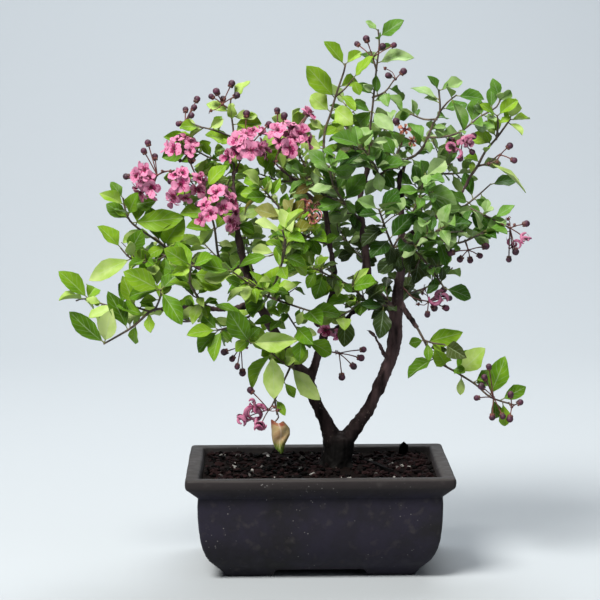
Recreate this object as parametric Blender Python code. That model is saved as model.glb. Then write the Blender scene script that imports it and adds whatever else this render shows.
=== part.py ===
"""Barbados cherry bonsai in flower, in an oblong footed pot.

The pot holds two drain gauzes and the soil, and the trunk stands in a hole in the soil. The wood
carries leafy sprays, umbels of flowers and buds, and one dried leaf. Every length in this file is in
millimetres from the middle of the pot's base (x to the right, y to the back, z up) and becomes
metres where a mesh is made. The origin of the finished plant is under the middle of its whole box.
"""

import math
import random

import bmesh
import bpy
from mathutils import Matrix, Vector, noise
from mathutils.bvhtree import BVHTree

MM = 0.001
GAP = 0.3
UP = Vector((0, 0, 1))
FRONT = Vector((0, -1, 0.1)).normalized()

# Pot: half sizes of its rim, and its outline as (height, how far the wall stands in from the rim)
RIM_HALF_X = 103.0
RIM_HALF_Y = 76.0
RIM_CORNER = 10.0
FOOT_HEIGHT = 6.0
OUTSIDE = [
    (0.0, 30.0), (6.0, 26.0), (12.0, 20.0), (20.0, 14.5), (31.0, 11.1), (45.0, 9.6), (65.4, 9.4),
    (72.3, 1.9), (75.0, 0.2), (79.9, 0.0), (81.0, 1.0),
]
INSIDE = [(81.0, 9.8), (79.6, 11.2), (67.0, 13.4), (30.0, 16.2), (18.0, 21.4), (10.5, 29.5)]
GAP_BETWEEN_FEET_X = (68.0, 78.0)
GAP_BETWEEN_FEET_Y = (36.0, 44.0)
DRAIN_RADIUS = 6.5
DRAIN_X = 38.0
GAUZE_SIDE = 24.0
GAUZE_THICKNESS = 1.0
GAUZE_HOLE = 6.0
GAUZE_PITCH = 9.0

# Soil, with small chips strewn by a draw and large ones as (x, y, z above the edge), size, turn, tilt
SOIL_EDGE_Z = 76.0
SOIL_BOTTOM_Z = 12.2
SOIL_TO_WALL = 0.4
SOIL_RINGS = 4
SMALL_CHIPS = 6
CHIP_TO_WALL = 9.0
CHIP_TO_TRUNK = 24.0
LARGE_CHIPS = [((70, 54, 4), (5.5, 4, 13), 0.3, 0.25), ((44, 0, 1), (3.5, 60, 4), 0.42, 0.0)]
TRUNK_AT = (14.0, 0.0)
TRUNK_RADIUS = 12.6
HOLE_RADIUS = TRUNK_RADIUS + 0.6
HOLE_BOTTOM_Z = 50.0

# Wood: name: points from the start of the branch to its end, each (x, y, z, radius)
WOOD = {
    "trunk": [(14, 0, 50.4, TRUNK_RADIUS), (14, 0, 79, TRUNK_RADIUS), (16, 0, 91, 12.0), (17, 0, 101, 11.4)],
    "left_trunk": [(14, 0, 94, 8.0), (8.5, -1, 106.5, 6.4), (4.4, -1, 116.5, 5.0), (-2.8, -3, 131, 4.6),
                   (-8.5, -5, 148, 4.5), (-19, -8, 162, 4.2), (-37, -12, 191, 3.8), (-50, -11, 217, 3.4),
                   (-59, -7, 246, 3.0), (-65, 2, 283, 2.4)],
    "right_trunk": [(19, 0, 94, 7.4), (27.5, 1, 106, 6.2), (35.6, 2, 116.5, 5.3), (41.5, 4, 126, 4.7),
                    (50.6, 6, 145, 5.0), (57.2, 6, 162, 5.0), (60.5, 5, 176, 5.6), (61, 4, 192, 5.5),
                    (62.5, 3, 204, 4.6), (63, 0, 221, 4.0)],
    "left_leader": [(-7, -5, 145, 3.6), (-1, -4, 163, 3.4), (4, 0, 180, 3.2), (10, 4, 206, 2.8),
                    (13, 8, 226, 2.5), (10, 10, 251, 2.2), (7, 12, 276, 2.0), (6, 12, 298, 1.8)],
    "right_leader": [(63, 0, 217, 3.6), (65, -3, 239, 3.1), (65, -6, 261, 2.7), (65, -8, 284, 2.3),
                     (63, -8, 302, 2.0), (69, -8, 318, 1.7)],
    "inner_leader": [(61, 4, 197, 4.0), (49, 10, 210, 3.9), (40, 14, 221, 3.6), (38, 16, 247, 3.1),
                     (35, 14, 269, 2.7), (34, 10, 291, 2.3), (39, 6, 310, 2.0), (42, 4, 325, 1.7)],
    "cross_branch": [(4, 1, 182, 2.8), (14, 5, 185, 2.4), (22, 8, 192, 2.1), (29, 10, 199, 1.9),
                     (41, 12, 202, 1.5)],
    "right_outer": [(65, -6, 257, 2.4), (82, -14, 268, 2.1), (97, -20, 280, 1.8), (109, -22, 291, 1.5),
                    (116, -22, 305, 1.2)],
    "right_low": [(63, 3, 210, 2.8), (68, -4, 201, 2.5), (77, -12, 188, 1.9)],
    "left_long": [(-48, -11, 212, 2.6), (-61, -14, 205, 2.4), (-79, -20, 205, 2.1), (-104, -24, 207, 1.8),
                  (-122, -26, 206, 1.5)],
    "left_high": [(-56, -8, 237, 2.1), (-75, -2, 233, 1.9), (-92, 4, 234, 1.6), (-106, 6, 241, 1.3)],
    "left_top": [(-64, 1, 278, 1.9), (-65, 4, 295, 1.6), (-65, 6, 310, 1.3)],
    "left_bud": [(-65, 4, 296, 1.4), (-80, 0, 301, 1.3), (-94, -3, 306, 1.1), (-104, -5, 309, 1.0)],
    "top_middle": [(7, 12, 276, 1.6), (-8, 10, 292, 1.4), (-22, 4, 306, 1.2), (-34, 0, 317, 1.1)],
    "dead_twig": [(56, 5, 160, 1.8), (51, -2, 168, 1.7), (43, -10, 183, 1.3), (37, -12, 187, 0.8)],
}

# Leafy sprays: name: (the branch it grows on, length of the leaves that follow the rule, its stems,
# and the leaves that have a place of their own as (foot, tip, width seen from the front))
SPRAYS = {
    "apex": ("inner_leader", 22, [
        [(42, 4, 325), (41, 3, 340), (43, 2, 360), (46, 0, 390), (48, -1, 407), (47, -2, 419)],
        [(44, 2, 367), (52, -6, 371), (58, -10, 379)],
    ], [
        ((48, -1, 413), (64, -12, 425), 12), ((47, -2, 418), (38, 2, 426), 5),
        ((47, 0, 393), (71, -8, 403), 9), ((46, 0, 391), (34, 8, 402), 8),
        ((44, 2, 369), (32, -4, 378), 7), ((52, -6, 371), (66, -10, 358), 6),
        ((55, -8, 374), (70, 6, 368), 6), ((43, 2, 356), (57, -14, 342), 13),
        ((43, 2, 357), (31, 14, 344), 12),
    ]),
    "left_spire": ("left_leader", 24, [
        [(6, 12, 298), (5, 12, 317), (6, 11, 340), (10, 10, 352), (15, 8, 369), (21, 6, 387), (22, 6, 393)],
        [(15, 8, 367), (22, 0, 374), (28, -6, 382)],
    ], [
        ((22, 6, 391), (8, 0, 411), 9), ((22, 6, 393), (42, 10, 404), 12),
        ((14, 8, 366), (-8, -4, 391), 17), ((28, -6, 382), (41, -14, 399), 9),
        ((27, -6, 381), (37, 0, 367), 11), ((11, 10, 355), (-5, 16, 369), 15),
        ((12, 10, 359), (26, -6, 348), 15), ((6, 11, 340), (-2, 4, 356), 7),
        ((6, 11, 337), (22, 18, 347), 11), ((6, 12, 326), (-12, 20, 333), 12),
    ]),
    "right_spire": ("right_leader", 22, [
        [(69, -8, 318), (75, -10, 322), (82, -12, 330), (89, -14, 347), (94, -14, 356), (93, -14, 373)],
        [(94, -14, 355), (99, -20, 363), (106, -24, 369)],
        [(91, -14, 350), (82, -8, 350), (72, -4, 354)],
        [(85, -13, 336), (97, -20, 337), (109, -24, 341), (123, -28, 352), (136, -30, 360), (139, -30, 367)],
    ], [
        ((94, -14, 365), (74, -10, 378), 8), ((93, -14, 372), (86, -18, 384), 5),
        ((93, -14, 372), (112, -6, 379), 8), ((106, -24, 369), (126, -30, 367), 10),
        ((102, -22, 366), (113, -30, 344), 11), ((89, -14, 346), (99, -2, 339), 12),
        ((72, -4, 354), (62, 4, 351), 8), ((75, -5, 354), (74, -12, 364), 6),
        ((82, -12, 332), (71, 0, 348), 8), ((139, -30, 366), (133, -34, 381), 9),
        ((138, -30, 364), (148, -22, 372), 8), ((125, -28, 353), (123, -20, 363), 9),
    ]),
    "right_reach": ("right_outer", 20, [
        [(116, -22, 305), (122, -24, 314), (128, -26, 326), (137, -28, 337), (147, -28, 351)],
        [(122, -24, 315), (129, -32, 317), (136, -38, 323)],
        [(136, -28, 336), (137, -32, 346), (136, -34, 354)],
    ], [
        ((131, -33, 318), (160, -44, 301), 6), ((133, -27, 331), (119, -22, 340), 12),
        ((136, -28, 337), (128, -20, 350), 9), ((147, -28, 351), (149, -30, 368), 14),
        ((147, -28, 351), (163, -20, 351), 5), ((145, -28, 348), (155, -40, 341), 6),
        ((124, -24, 318), (114, -8, 321), 8),
    ]),
    "low_right": ("right_low", 24, [
        [(77, -12, 188), (82, -16, 179), (90, -20, 165), (108, -24, 154), (121, -28, 146),
         (133, -30, 136), (151, -30, 130)],
        [(82, -16, 179), (89, -26, 178), (97, -34, 178)],
    ], [
        ((84, -17, 178), (109, -30, 186), 15), ((82, -16, 179), (70, -8, 175), 9),
        ((97, -34, 178), (110, -48, 171), 14), ((89, -20, 165), (68, -34, 156), 8),
        ((108, -24, 154), (127, -34, 174), 17), ((106, -24, 155), (119, -6, 169), 12),
        ((132, -30, 137), (143, -36, 167), 17), ((140, -30, 133), (167, -34, 138), 12),
        ((99, -22, 159), (90, -40, 174), 13),
    ]),
    "left_reach": ("left_long", 26, [
        [(-122, -26, 206), (-130, -26, 204), (-139, -28, 196), (-147, -28, 190), (-166, -26, 179)],
        [(-130, -26, 204), (-147, -20, 208), (-163, -18, 208), (-179, -14, 213), (-188, -12, 211)],
        [(-126, -26, 205), (-121, -36, 217), (-121, -42, 223)],
    ], [
        ((-178, -14, 213), (-198, -20, 236), 12), ((-179, -14, 213), (-173, -2, 221), 13),
        ((-166, -26, 179), (-191, -34, 205), 15), ((-165, -26, 179), (-159, -40, 205), 16),
        ((-147, -28, 190), (-159, -36, 222), 14), ((-145, -28, 191), (-147, -14, 211), 13),
        ((-155, -19, 208), (-177, -34, 199), 9), ((-141, -28, 195), (-145, -20, 177), 8),
        ((-131, -26, 204), (-131, -36, 190), 7), ((-121, -41, 221), (-104, -54, 200), 14),
        ((-121, -42, 223), (-147, -52, 237), 18), ((-121, -42, 222), (-148, -30, 219), 12),
        ((-120, -42, 223), (-98, -36, 243), 14),
    ]),
    "left_fork": ("left_high", 26, [
        [(-106, 6, 241), (-117, 6, 249), (-127, 4, 257), (-146, 0, 272), (-151, -2, 290)],
        [(-114, 6, 247), (-123, -8, 243), (-134, -16, 241), (-145, -20, 245), (-152, -22, 253)],
    ], [
        ((-151, -2, 290), (-160, 2, 303), 7), ((-149, -1, 284), (-166, -10, 297), 8),
        ((-146, 0, 273), (-165, 6, 285), 12), ((-148, 0, 276), (-137, -14, 296), 14),
        ((-144, 0, 270), (-105, -16, 276), 18), ((-152, -22, 253), (-167, -26, 271), 11),
        ((-147, -20, 246), (-136, -26, 266), 14), ((-144, -20, 243), (-176, -30, 232), 14),
        ((-130, -14, 240), (-146, -2, 245), 14), ((-123, 5, 254), (-131, 10, 283), 14),
        ((-121, 5, 251), (-104, -16, 272), 18), ((-119, 6, 250), (-126, 20, 278), 12),
    ]),
    "low_drop": ("left_trunk", 26, [
        [(-17, -9, 155), (-23, -22, 160), (-30, -30, 166), (-37, -36, 173)],
        [(-22, -20, 159), (-26, -28, 152), (-33, -32, 138), (-36, -32, 132)],
    ], [
        ((-39, -36, 173), (-35, -42, 138), 17), ((-21, -20, 160), (0, -34, 136), 15),
        ((-40, -36, 173), (-60, -28, 142), 8), ((-29, -30, 165), (-43, -20, 179), 16),
        ((-26, -26, 164), (-14, -34, 179), 14),
    ]),
    "low_left": ("left_trunk", 28, [
        [(-44, -11, 204), (-56, -30, 199), (-68, -42, 194), (-78, -48, 192)],
        [(-56, -30, 199), (-57, -44, 188), (-52, -52, 182)],
    ], [
        ((-52, -52, 183), (-68, -66, 208), 18), ((-52, -52, 182), (-20, -64, 186), 16),
        ((-76, -48, 192), (-94, -46, 176), 9), ((-73, -46, 192), (-87, -60, 172), 9),
        ((-78, -48, 192), (-100, -58, 192), 8), ((-77, -48, 193), (-91, -36, 204), 14),
        ((-66, -42, 195), (-79, -28, 178), 9),
    ]),
    "left_mass": ("left_long", 29, [
        [(-85, -21, 205), (-92, -40, 216), (-98, -56, 230), (-96, -68, 244)],
        [(-88, -30, 210), (-94, -29, 199), (-104, -10, 194), (-113, 12, 194), (-120, 30, 198)],
    ], []),
    "left_mass_back": ("left_high", 27, [
        [(-92, 4, 234), (-104, 24, 240), (-118, 44, 246), (-130, 58, 254)],
    ], []),
    "left_rise": ("left_high", 25, [
        [(-75, -2, 233), (-78, -12, 250), (-80, -16, 268), (-84, -20, 284), (-86, -22, 300)],
    ], []),
    "left_tip": ("left_top", 22, [
        [(-65, 6, 310), (-65, 5, 320), (-65, 4, 340), (-67, 4, 357), (-67, 4, 366)],
        [(-66, 4, 336), (-80, 0, 342), (-92, -2, 345)],
        [(-65, 5, 320), (-78, 14, 318), (-92, 18, 324), (-102, 20, 332)],
    ], []),
    "left_top_back": ("left_trunk", 25, [
        [(-62, -3, 263), (-66, 22, 276), (-72, 44, 290), (-78, 60, 306)],
        [(-66, 22, 276), (-86, 34, 286), (-100, 40, 300)],
    ], []),
    "centre_left": ("left_leader", 26, [
        [(10, 10, 251), (-4, -10, 258), (-18, -28, 266), (-28, -44, 278)],
        [(-4, -10, 258), (-24, -12, 250), (-38, -22, 246)],
        [(-18, -28, 266), (-30, -30, 284), (-44, -28, 300)],
    ], []),
    "centre_top": ("left_leader", 24, [
        [(6, 12, 290), (-4, 26, 304), (-14, 34, 322), (-20, 36, 342)],
        [(-4, 26, 304), (-26, 30, 300), (-44, 26, 306)],
    ], []),
    "centre_low": ("left_trunk", 27, [
        [(-50, -11, 217), (-36, -26, 214), (-22, -36, 210), (-8, -42, 206)],
        [(-30, -30, 212), (-20, -38, 196), (-10, -42, 182)],
    ], []),
    "back_left": ("left_trunk", 28, [
        [(-40, -12, 196), (-44, 20, 207), (-50, 50, 223), (-54, 68, 236), (-60, 94, 262)],
        [(-50, 50, 223), (-74, 66, 232), (-90, 76, 246)],
    ], []),
    "back_middle": ("inner_leader", 26, [
        [(38, 16, 237), (26, 45, 248), (18, 72, 262), (12, 88, 276), (8, 100, 294)],
        [(26, 45, 248), (6, 56, 268), (-12, 62, 292)],
    ], []),
    "back_right": ("right_trunk", 26, [
        [(62, 4, 193), (70, 35, 209), (76, 60, 226), (84, 76, 240), (92, 98, 270)],
        [(70, 35, 209), (90, 48, 214), (110, 56, 228)],
    ], []),
    "front_left": ("left_trunk", 27, [
        [(-44, -11, 206), (-37, -38, 220), (-31, -60, 236), (-26, -80, 258), (-28, -88, 272)],
        [(-37, -38, 220), (-52, -58, 228), (-66, -72, 240)],
    ], []),
    "front_right": ("right_leader", 25, [
        [(65, -3, 239), (57, -32, 253), (51, -55, 267), (44, -74, 286)],
        [(57, -32, 253), (76, -52, 260), (94, -64, 272)],
        [(57, -32, 253), (68, -40, 274), (76, -44, 292), (80, -46, 308)],
    ], []),
    "inner_low": ("cross_branch", 27, [
        [(41, 12, 202), (34, -2, 212), (24, -14, 222), (10, -26, 230), (-4, -34, 238)],
        [(34, -2, 212), (26, -20, 204), (16, -30, 200)],
    ], []),
    "trunk_shade": ("right_trunk", 22, [
        [(62, 3, 202), (57, -8, 205), (50, -20, 207)],
    ], [
        ((50, -20, 207), (47, -28, 183), 15), ((52, -17, 206), (28, -24, 198), 8),
    ]),
    "crown_left": ("inner_leader", 25, [
        [(35, 14, 269), (22, -6, 284), (12, -22, 300), (8, -34, 316)],
        [(22, -6, 284), (4, -4, 292), (-10, -8, 306)],
    ], []),
    "crown": ("inner_leader", 24, [
        [(36, 8, 298), (48, -4, 306), (58, -12, 318), (64, -12, 330)],
        [(48, -4, 306), (42, -24, 318), (32, -36, 332)],
    ], []),
    "crown_back": ("inner_leader", 24, [
        [(39, 6, 310), (30, 26, 324), (24, 42, 342), (24, 52, 360)],
        [(30, 26, 324), (48, 44, 332), (60, 54, 346)],
    ], []),
    "right_mid": ("right_outer", 27, [
        [(82, -14, 268), (90, -26, 260), (100, -32, 256), (112, -36, 258), (126, -40, 266)],
    ], []),
    "right_side": ("right_outer", 24, [
        [(97, -20, 280), (112, -28, 284), (126, -34, 278), (138, -36, 272)],
        [(112, -28, 284), (124, -16, 292), (134, -10, 300)],
    ], []),
    "right_back": ("right_leader", 24, [
        [(65, -8, 284), (80, 10, 294), (92, 26, 306), (98, 38, 324)],
        [(92, 26, 306), (112, 28, 306), (130, 28, 312)],
    ], []),
    "right_under": ("right_leader", 25, [
        [(65, -6, 258), (78, -22, 246), (88, -34, 234), (96, -42, 222)],
    ], []),
}

# Umbels: name: (what it grows on, stalk, buds, flowers as (x, y, z, radius))
UMBELS = {
    "buds_top_left": ("left_tip", [(-67, 4, 357), (-72, 3, 361)], [
        (-66, 2, 378), (-78, 0, 372), (-82, 4, 368), (-73, 8, 366), (-62, -4, 369)], []),
    "buds_left": ("left_tip", [(-90, -2, 345), (-97, -2, 347)], [
        (-93, 4, 366), (-95, -6, 360), (-102, 4, 358), (-97, -12, 354), (-105, -2, 349)], []),
    "umbel_far_left": ("left_bud", [(-104, -5, 309), (-116, -8, 311), (-124, -10, 308)], [
        (-131, -6, 333), (-134, -12, 327), (-126, -2, 322), (-148, -8, 307)], [
        (-139, -18, 308, 8), (-128, -22, 300, 8), (-136, 0, 312, 8), (-136, -10, 295, 8)]),
    "umbel_left": ("left_bud", [(-94, -3, 306), (-98, -4, 316), (-101, -4, 323)], [
        (-107, 2, 337), (-98, 6, 318)], [(-110, -12, 328, 8.5), (-98, -6, 333, 8)]),
    "umbel_left_low": ("left_bud", [(-100, -4, 308), (-103, -14, 303)], [(-114, -8, 303)], [
        (-105, -27, 302, 9), (-93, -20, 298, 8.5), (-110, -20, 292, 8.5)]),
    "umbel_mid_left": ("left_rise", [(-82, -18, 278), (-78, -24, 280)], [(-92, -32, 287)], [
        (-78, -34, 296, 9), (-66, -30, 288, 9), (-82, -42, 281, 8.5), (-67, -30, 274, 8.5)]),
    "umbel_top_left": ("left_top", [(-65, 6, 306), (-60, 2, 318), (-57, -2, 324)], [
        (-50, 2, 354), (-43, -6, 351)], [
        (-62, -12, 334, 9.5), (-50, 0, 341, 9), (-52, -18, 327, 9), (-68, -4, 322, 8.5),
        (-43, 2, 329, 8.5)]),
    "umbel_top": ("top_middle", [(-34, 0, 317), (-30, -3, 325)], [(-31, 4, 357), (-26, -14, 353)], [
        (-21, 0, 345, 10), (-14, -14, 339, 9.5), (-31, -16, 342, 10), (-22, -22, 329, 9.5),
        (-7, 9, 354, 8.5)]),
    "umbel_spent": ("left_leader", [(7, 12, 280), (2, -8, 281), (-4, -20, 281)], [(-17, -34, 269)], [
        (-10, -34, 288, 8), (-5, -38, 276, 8), (-18, -26, 279, 7)]),
    "umbel_right": ("right_spire", [(109, -24, 341), (110, -28, 333)], [
        (102, -22, 336), (118, -34, 338), (117, -38, 326), (108, -36, 321)], [
        (112, -40, 334, 9), (103, -34, 329, 7)]),
    "umbel_back_right": ("crown", [(64, -12, 330), (65, -16, 337)], [(60, -18, 349)], [
        (66, -28, 343, 8), (72, -24, 334, 7)]),
    "umbel_low": ("left_leader", [(5, 0, 184), (4, -10, 184)], [(-1, -16, 193)], [
        (5, -22, 188, 8.5), (15, -16, 184, 7)]),
    "buds_low": ("left_leader", [(2, -1, 174), (8, -10, 170), (16, -14, 169)], [
        (35, -16, 172), (33, -20, 166), (27, -24, 160), (18, -20, 151)], []),
    "umbel_hanging": ("low_drop", [(-36, -32, 132), (-39, -33, 128)], [(-53, -30, 143)], [
        (-50, -38, 131, 9), (-56, -32, 122, 8), (-45, -40, 119, 8)]),
    "umbel_right_mid": ("right_leader", [(63, 0, 222), (74, -14, 212), (85, -22, 210)], [
        (101, -26, 213), (97, -20, 219), (98, -32, 206), (84, -24, 200), (90, -16, 204)], [
        (92, -32, 215, 8)]),
    "umbel_far_right": ("right_side", [(138, -36, 272), (146, -37, 268)], [
        (151, -40, 249), (145, -40, 244), (159, -34, 271)], [(158, -42, 260, 6), (148, -34, 254, 6)]),
    "buds_right_row": ("right_mid", [(112, -36, 258), (114, -37, 252)], [
        (101, -34, 249), (108, -36, 244), (116, -34, 243), (123, -40, 247), (128, -36, 254)], []),
    "buds_low_right": ("low_right", [(133, -30, 136), (134, -36, 137)], [
        (130, -42, 162), (127, -38, 153), (124, -44, 147), (121, -38, 137), (133, -40, 122),
        (141, -42, 123)], []),
    "buds_low_right_end": ("low_right", [(147, -30, 131), (148, -35, 130)], [
        (147, -40, 140), (155, -36, 133), (146, -40, 121)], []),
    "buds_low_left": ("low_left", [(-56, -30, 199), (-60, -26, 186), (-60, -28, 176)], [
        (-73, -32, 173), (-67, -28, 167), (-63, -36, 162), (-59, -28, 156)], []),
    "buds_apex": ("apex", [(46, 0, 388), (43, -3, 397)], [
        (38, 0, 412), (31, 4, 408), (50, -12, 406), (59, -8, 407)], []),
    "buds_apex_low": ("apex", [(58, -10, 379), (60, -12, 381)], [(54, -18, 384), (66, -14, 387)], []),
    "buds_right_reach": ("right_reach", [(136, -38, 323), (138, -40, 324)], [
        (145, -42, 331), (148, -46, 320)], []),
}
DRIED_LEAF = ("low_drop", (-35, -32, 136), (-29, -38, 97), 13.0)

# Open places in the crown, as seen from VIEW_FROM, which no leaf of the rule crosses: (x, z, radius)
VIEW_FROM = Vector((-14, -1755, 417.5))
CLEARINGS = [
    (29, 396, 9), (58, 384, 10), (-162, 268, 9), (-131, 262, 10), (-172, 240, 11), (-131, 192, 9),
    (-111, 186, 12), (-85, 179, 9), (-162, 172, 9), (-80, 221, 9), (-122, 213, 8), (98, 190, 11),
    (80, 182, 8), (75, 162, 8), (95, 151, 7), (134, 311, 10), (147, 326, 9), (164, 126, 8),
    (126, 134, 8), (-14, 150, 11), (118, 239, 8), (98, 221, 11), (106, 209, 8), (25, 174, 16),
    (-125, 181, 7), (-44, 242, 6), (-57, 239, 6), (37, 371, 6), (168, 114, 8),
]

# Growth rule
TWIG_RADIUS = 1.1
SIDE_TWIG_RADIUS = 0.9
STALK_RADIUS = 0.8
PEDICEL_RADIUS = 0.45
KNOT_RADIUS = 2.0
BUD_RADIUS = 3.0
BLADE_THICKNESS = 0.8
PETAL_THICKNESS = 0.7
SECTIONS = (0.38, 0.74)
END_MARGIN = 1.0
CLEAR = 0.35
LEAF_SPACING = 1.46
SHADED_SPACING = 2.1
LEAF_ASPECT = 0.56
LEAF_TRIES = 14
SEED = 11

LEAF_GREEN = (0.13, 0.30, 0.035, 1)
LEAF_DEEP = (0.035, 0.15, 0.03, 1)
BARK = (0.022, 0.014, 0.013, 1)
PINK = (0.62, 0.12, 0.30, 1)
PURPLE = (0.055, 0.014, 0.03, 1)
DRY = (0.22, 0.15, 0.05, 1)
DEEP_SPRAYS = ("apex", "crown", "crown_left", "crown_back", "right_mid", "right_under", "front_right",
               "right_side", "right_back", "back_middle", "back_right", "trunk_shade", "right_spire")


def clear_scene():
    for thing in list(bpy.data.objects):
        bpy.data.objects.remove(thing)


def material(name, colour, roughness):
    made = bpy.data.materials.new(name)
    made.use_nodes = True
    shader = made.node_tree.nodes["Principled BSDF"]
    shader.inputs["Base Color"].default_value = colour
    shader.inputs["Roughness"].default_value = roughness
    return made


def new_object(name, bm, finish=None, smooth=False):
    """An object of this bmesh, whose points are in millimetres."""
    bmesh.ops.recalc_face_normals(bm, faces=bm.faces)
    mesh = bpy.data.meshes.new(name)
    bm.to_mesh(mesh)
    bm.free()
    mesh.transform(Matrix.Scale(MM, 4))
    if smooth:
        mesh.shade_smooth()
        mesh.set_sharp_from_angle(angle=math.radians(40))
    made = bpy.data.objects.new(name, mesh)
    bpy.context.scene.collection.objects.link(made)
    if finish:
        mesh.materials.append(finish)
    return made


def combine(target, others, operation, solver):
    """One Boolean on a collection of the other objects, applied, with those objects then removed."""
    group = bpy.data.collections.new("group")
    bpy.context.scene.collection.children.link(group)
    for other in others:
        group.objects.link(other)
    step = target.modifiers.new("join", "BOOLEAN")
    step.operation = operation
    step.operand_type = "COLLECTION"
    step.collection = group
    step.solver = solver
    graph = bpy.context.evaluated_depsgraph_get()
    result = bpy.data.meshes.new_from_object(target.evaluated_get(graph))
    target.modifiers.clear()
    target.data = result
    for other in others:
        bpy.data.objects.remove(other)
    bpy.data.collections.remove(group)


# Pot, gauzes and soil


def rounded_loop(bm, inset, z):
    """One ring of the pot: a rectangle with round corners."""
    half_x, half_y = RIM_HALF_X - inset, RIM_HALF_Y - inset
    corner = max(RIM_CORNER - 0.25 * inset, 4.0)
    points = []
    for quarter, (side_x, side_y) in enumerate(((1, 1), (-1, 1), (-1, -1), (1, -1))):
        for step in range(3):
            angle = math.radians(90 * quarter + 45 * step)
            points.append((side_x * (half_x - corner) + corner * math.cos(angle),
                           side_y * (half_y - corner) + corner * math.sin(angle)))
    return [bm.verts.new((x, y, z)) for x, y in points]


def skin_loops(bm, loops):
    for low, high in zip(loops, loops[1:]):
        for i in range(len(low)):
            j = (i + 1) % len(low)
            bm.faces.new((low[i], low[j], high[j], high[i]))


def wedge(half_top, half_floor, length, along_x):
    """A cutter for the gap between feet, wider at the floor than at its top."""
    bm = bmesh.new()
    reach = length / 2
    section = [(-half_floor - 1, -2), (half_floor + 1, -2),
               (half_top, FOOT_HEIGHT), (-half_top, FOOT_HEIGHT)]
    ends = []
    for end in (-reach, reach):
        points = [(end, u, z) if along_x else (u, end, z) for u, z in section]
        ends.append([bm.verts.new(point) for point in points])
    skin_loops(bm, ends)
    for end in ends:
        bm.faces.new(end)
    cutter = new_object("foot_gap", bm)
    cutter.hide_render = True
    cutter.display_type = "WIRE"
    return cutter


def drain_cutter(x):
    bm = bmesh.new()
    middle = (FOOT_HEIGHT + INSIDE[-1][0]) / 2
    depth = 3 * (INSIDE[-1][0] - FOOT_HEIGHT)
    bmesh.ops.create_cone(bm, cap_ends=True, segments=12, radius1=DRAIN_RADIUS, radius2=DRAIN_RADIUS,
                          depth=depth, matrix=Matrix.Translation((x, 0, middle)))
    cutter = new_object("drain", bm)
    cutter.hide_render = True
    cutter.display_type = "WIRE"
    return cutter


def make_pot():
    bm = bmesh.new()
    profile = OUTSIDE + INSIDE
    loops = [rounded_loop(bm, inset, z) for z, inset in profile]
    skin_loops(bm, loops)
    bm.faces.new(loops[0])
    bm.faces.new(loops[-1])
    pot = new_object("pot", bm, material("pot_clay", (0.028, 0.026, 0.032, 1), 0.6), smooth=True)
    cutters = [
        wedge(GAP_BETWEEN_FEET_X[0] / 2, GAP_BETWEEN_FEET_X[1] / 2, 4 * RIM_HALF_Y, False),
        wedge(GAP_BETWEEN_FEET_Y[0] / 2, GAP_BETWEEN_FEET_Y[1] / 2, 4 * RIM_HALF_X, True),
    ]
    combine(pot, cutters, "DIFFERENCE", "EXACT")
    combine(pot, [drain_cutter(DRAIN_X), drain_cutter(-DRAIN_X)], "DIFFERENCE", "EXACT")
    return [pot]


def make_gauze(name, x, finish):
    """A square of plastic gauze over one drain hole, with a 2 by 2 grid of openings."""
    bm = bmesh.new()
    z = INSIDE[-1][0] + GAP + GAUZE_THICKNESS / 2
    bmesh.ops.create_cube(bm, size=1, matrix=Matrix.Translation((x, 0, z))
                          @ Matrix.Diagonal((GAUZE_SIDE, GAUZE_SIDE, GAUZE_THICKNESS, 1)))
    plate = new_object(name, bm, finish)
    cutters = []
    for row in (-0.5, 0.5):
        for column in (-0.5, 0.5):
            hole = bmesh.new()
            spot = Matrix.Translation((x + column * GAUZE_PITCH, row * GAUZE_PITCH, z))
            bmesh.ops.create_cube(hole, size=GAUZE_HOLE, matrix=spot)
            cutters.append(new_object("mesh_opening", hole))
    combine(plate, cutters, "DIFFERENCE", "EXACT")
    return plate


def make_gauzes():
    finish = material("gauze_plastic", (0.02, 0.02, 0.02, 1), 0.7)
    places = {"drain_gauze_left": -DRAIN_X, "drain_gauze_right": DRAIN_X}
    return [make_gauze(name, x, finish) for name, x in places.items()]


def inside_inset(z):
    """How far the pot's inner wall stands in from the rim at this height."""
    for (high, inset_high), (low, inset_low) in zip(INSIDE, INSIDE[1:]):
        if low <= z <= high:
            return inset_low + (inset_high - inset_low) * (z - low) / (high - low)
    return INSIDE[-1][1]


def soil_height(x, y):
    """Lumpy surface, a little higher round the trunk."""
    away = math.hypot(x - TRUNK_AT[0], y - TRUNK_AT[1])
    broad = noise.noise(Vector((x * 0.11, y * 0.11, 3.0)))
    fine = noise.noise(Vector((x * 0.31, y * 0.31, 8.0)))
    return 1.5 * broad + 0.9 * fine + 2.2 * math.exp(-(away / 34) ** 2)


def chip(centre, size, turn, tilt):
    """A chip of bark or pumice, half sunk in the soil."""
    bm = bmesh.new()
    place = Matrix.Translation(centre) @ Matrix.Rotation(turn, 4, "Z") @ Matrix.Rotation(tilt, 4, "X")
    bmesh.ops.create_cube(bm, size=1, matrix=place @ Matrix.Diagonal((*size, 1)))
    top = sorted(bm.verts, key=lambda vert: vert.co.z)[4:]
    middle = sum((vert.co for vert in top), Vector()) / 4
    for vert in top:
        vert.co = middle + (vert.co - middle) * 0.7
    return new_object("chip", bm)


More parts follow.
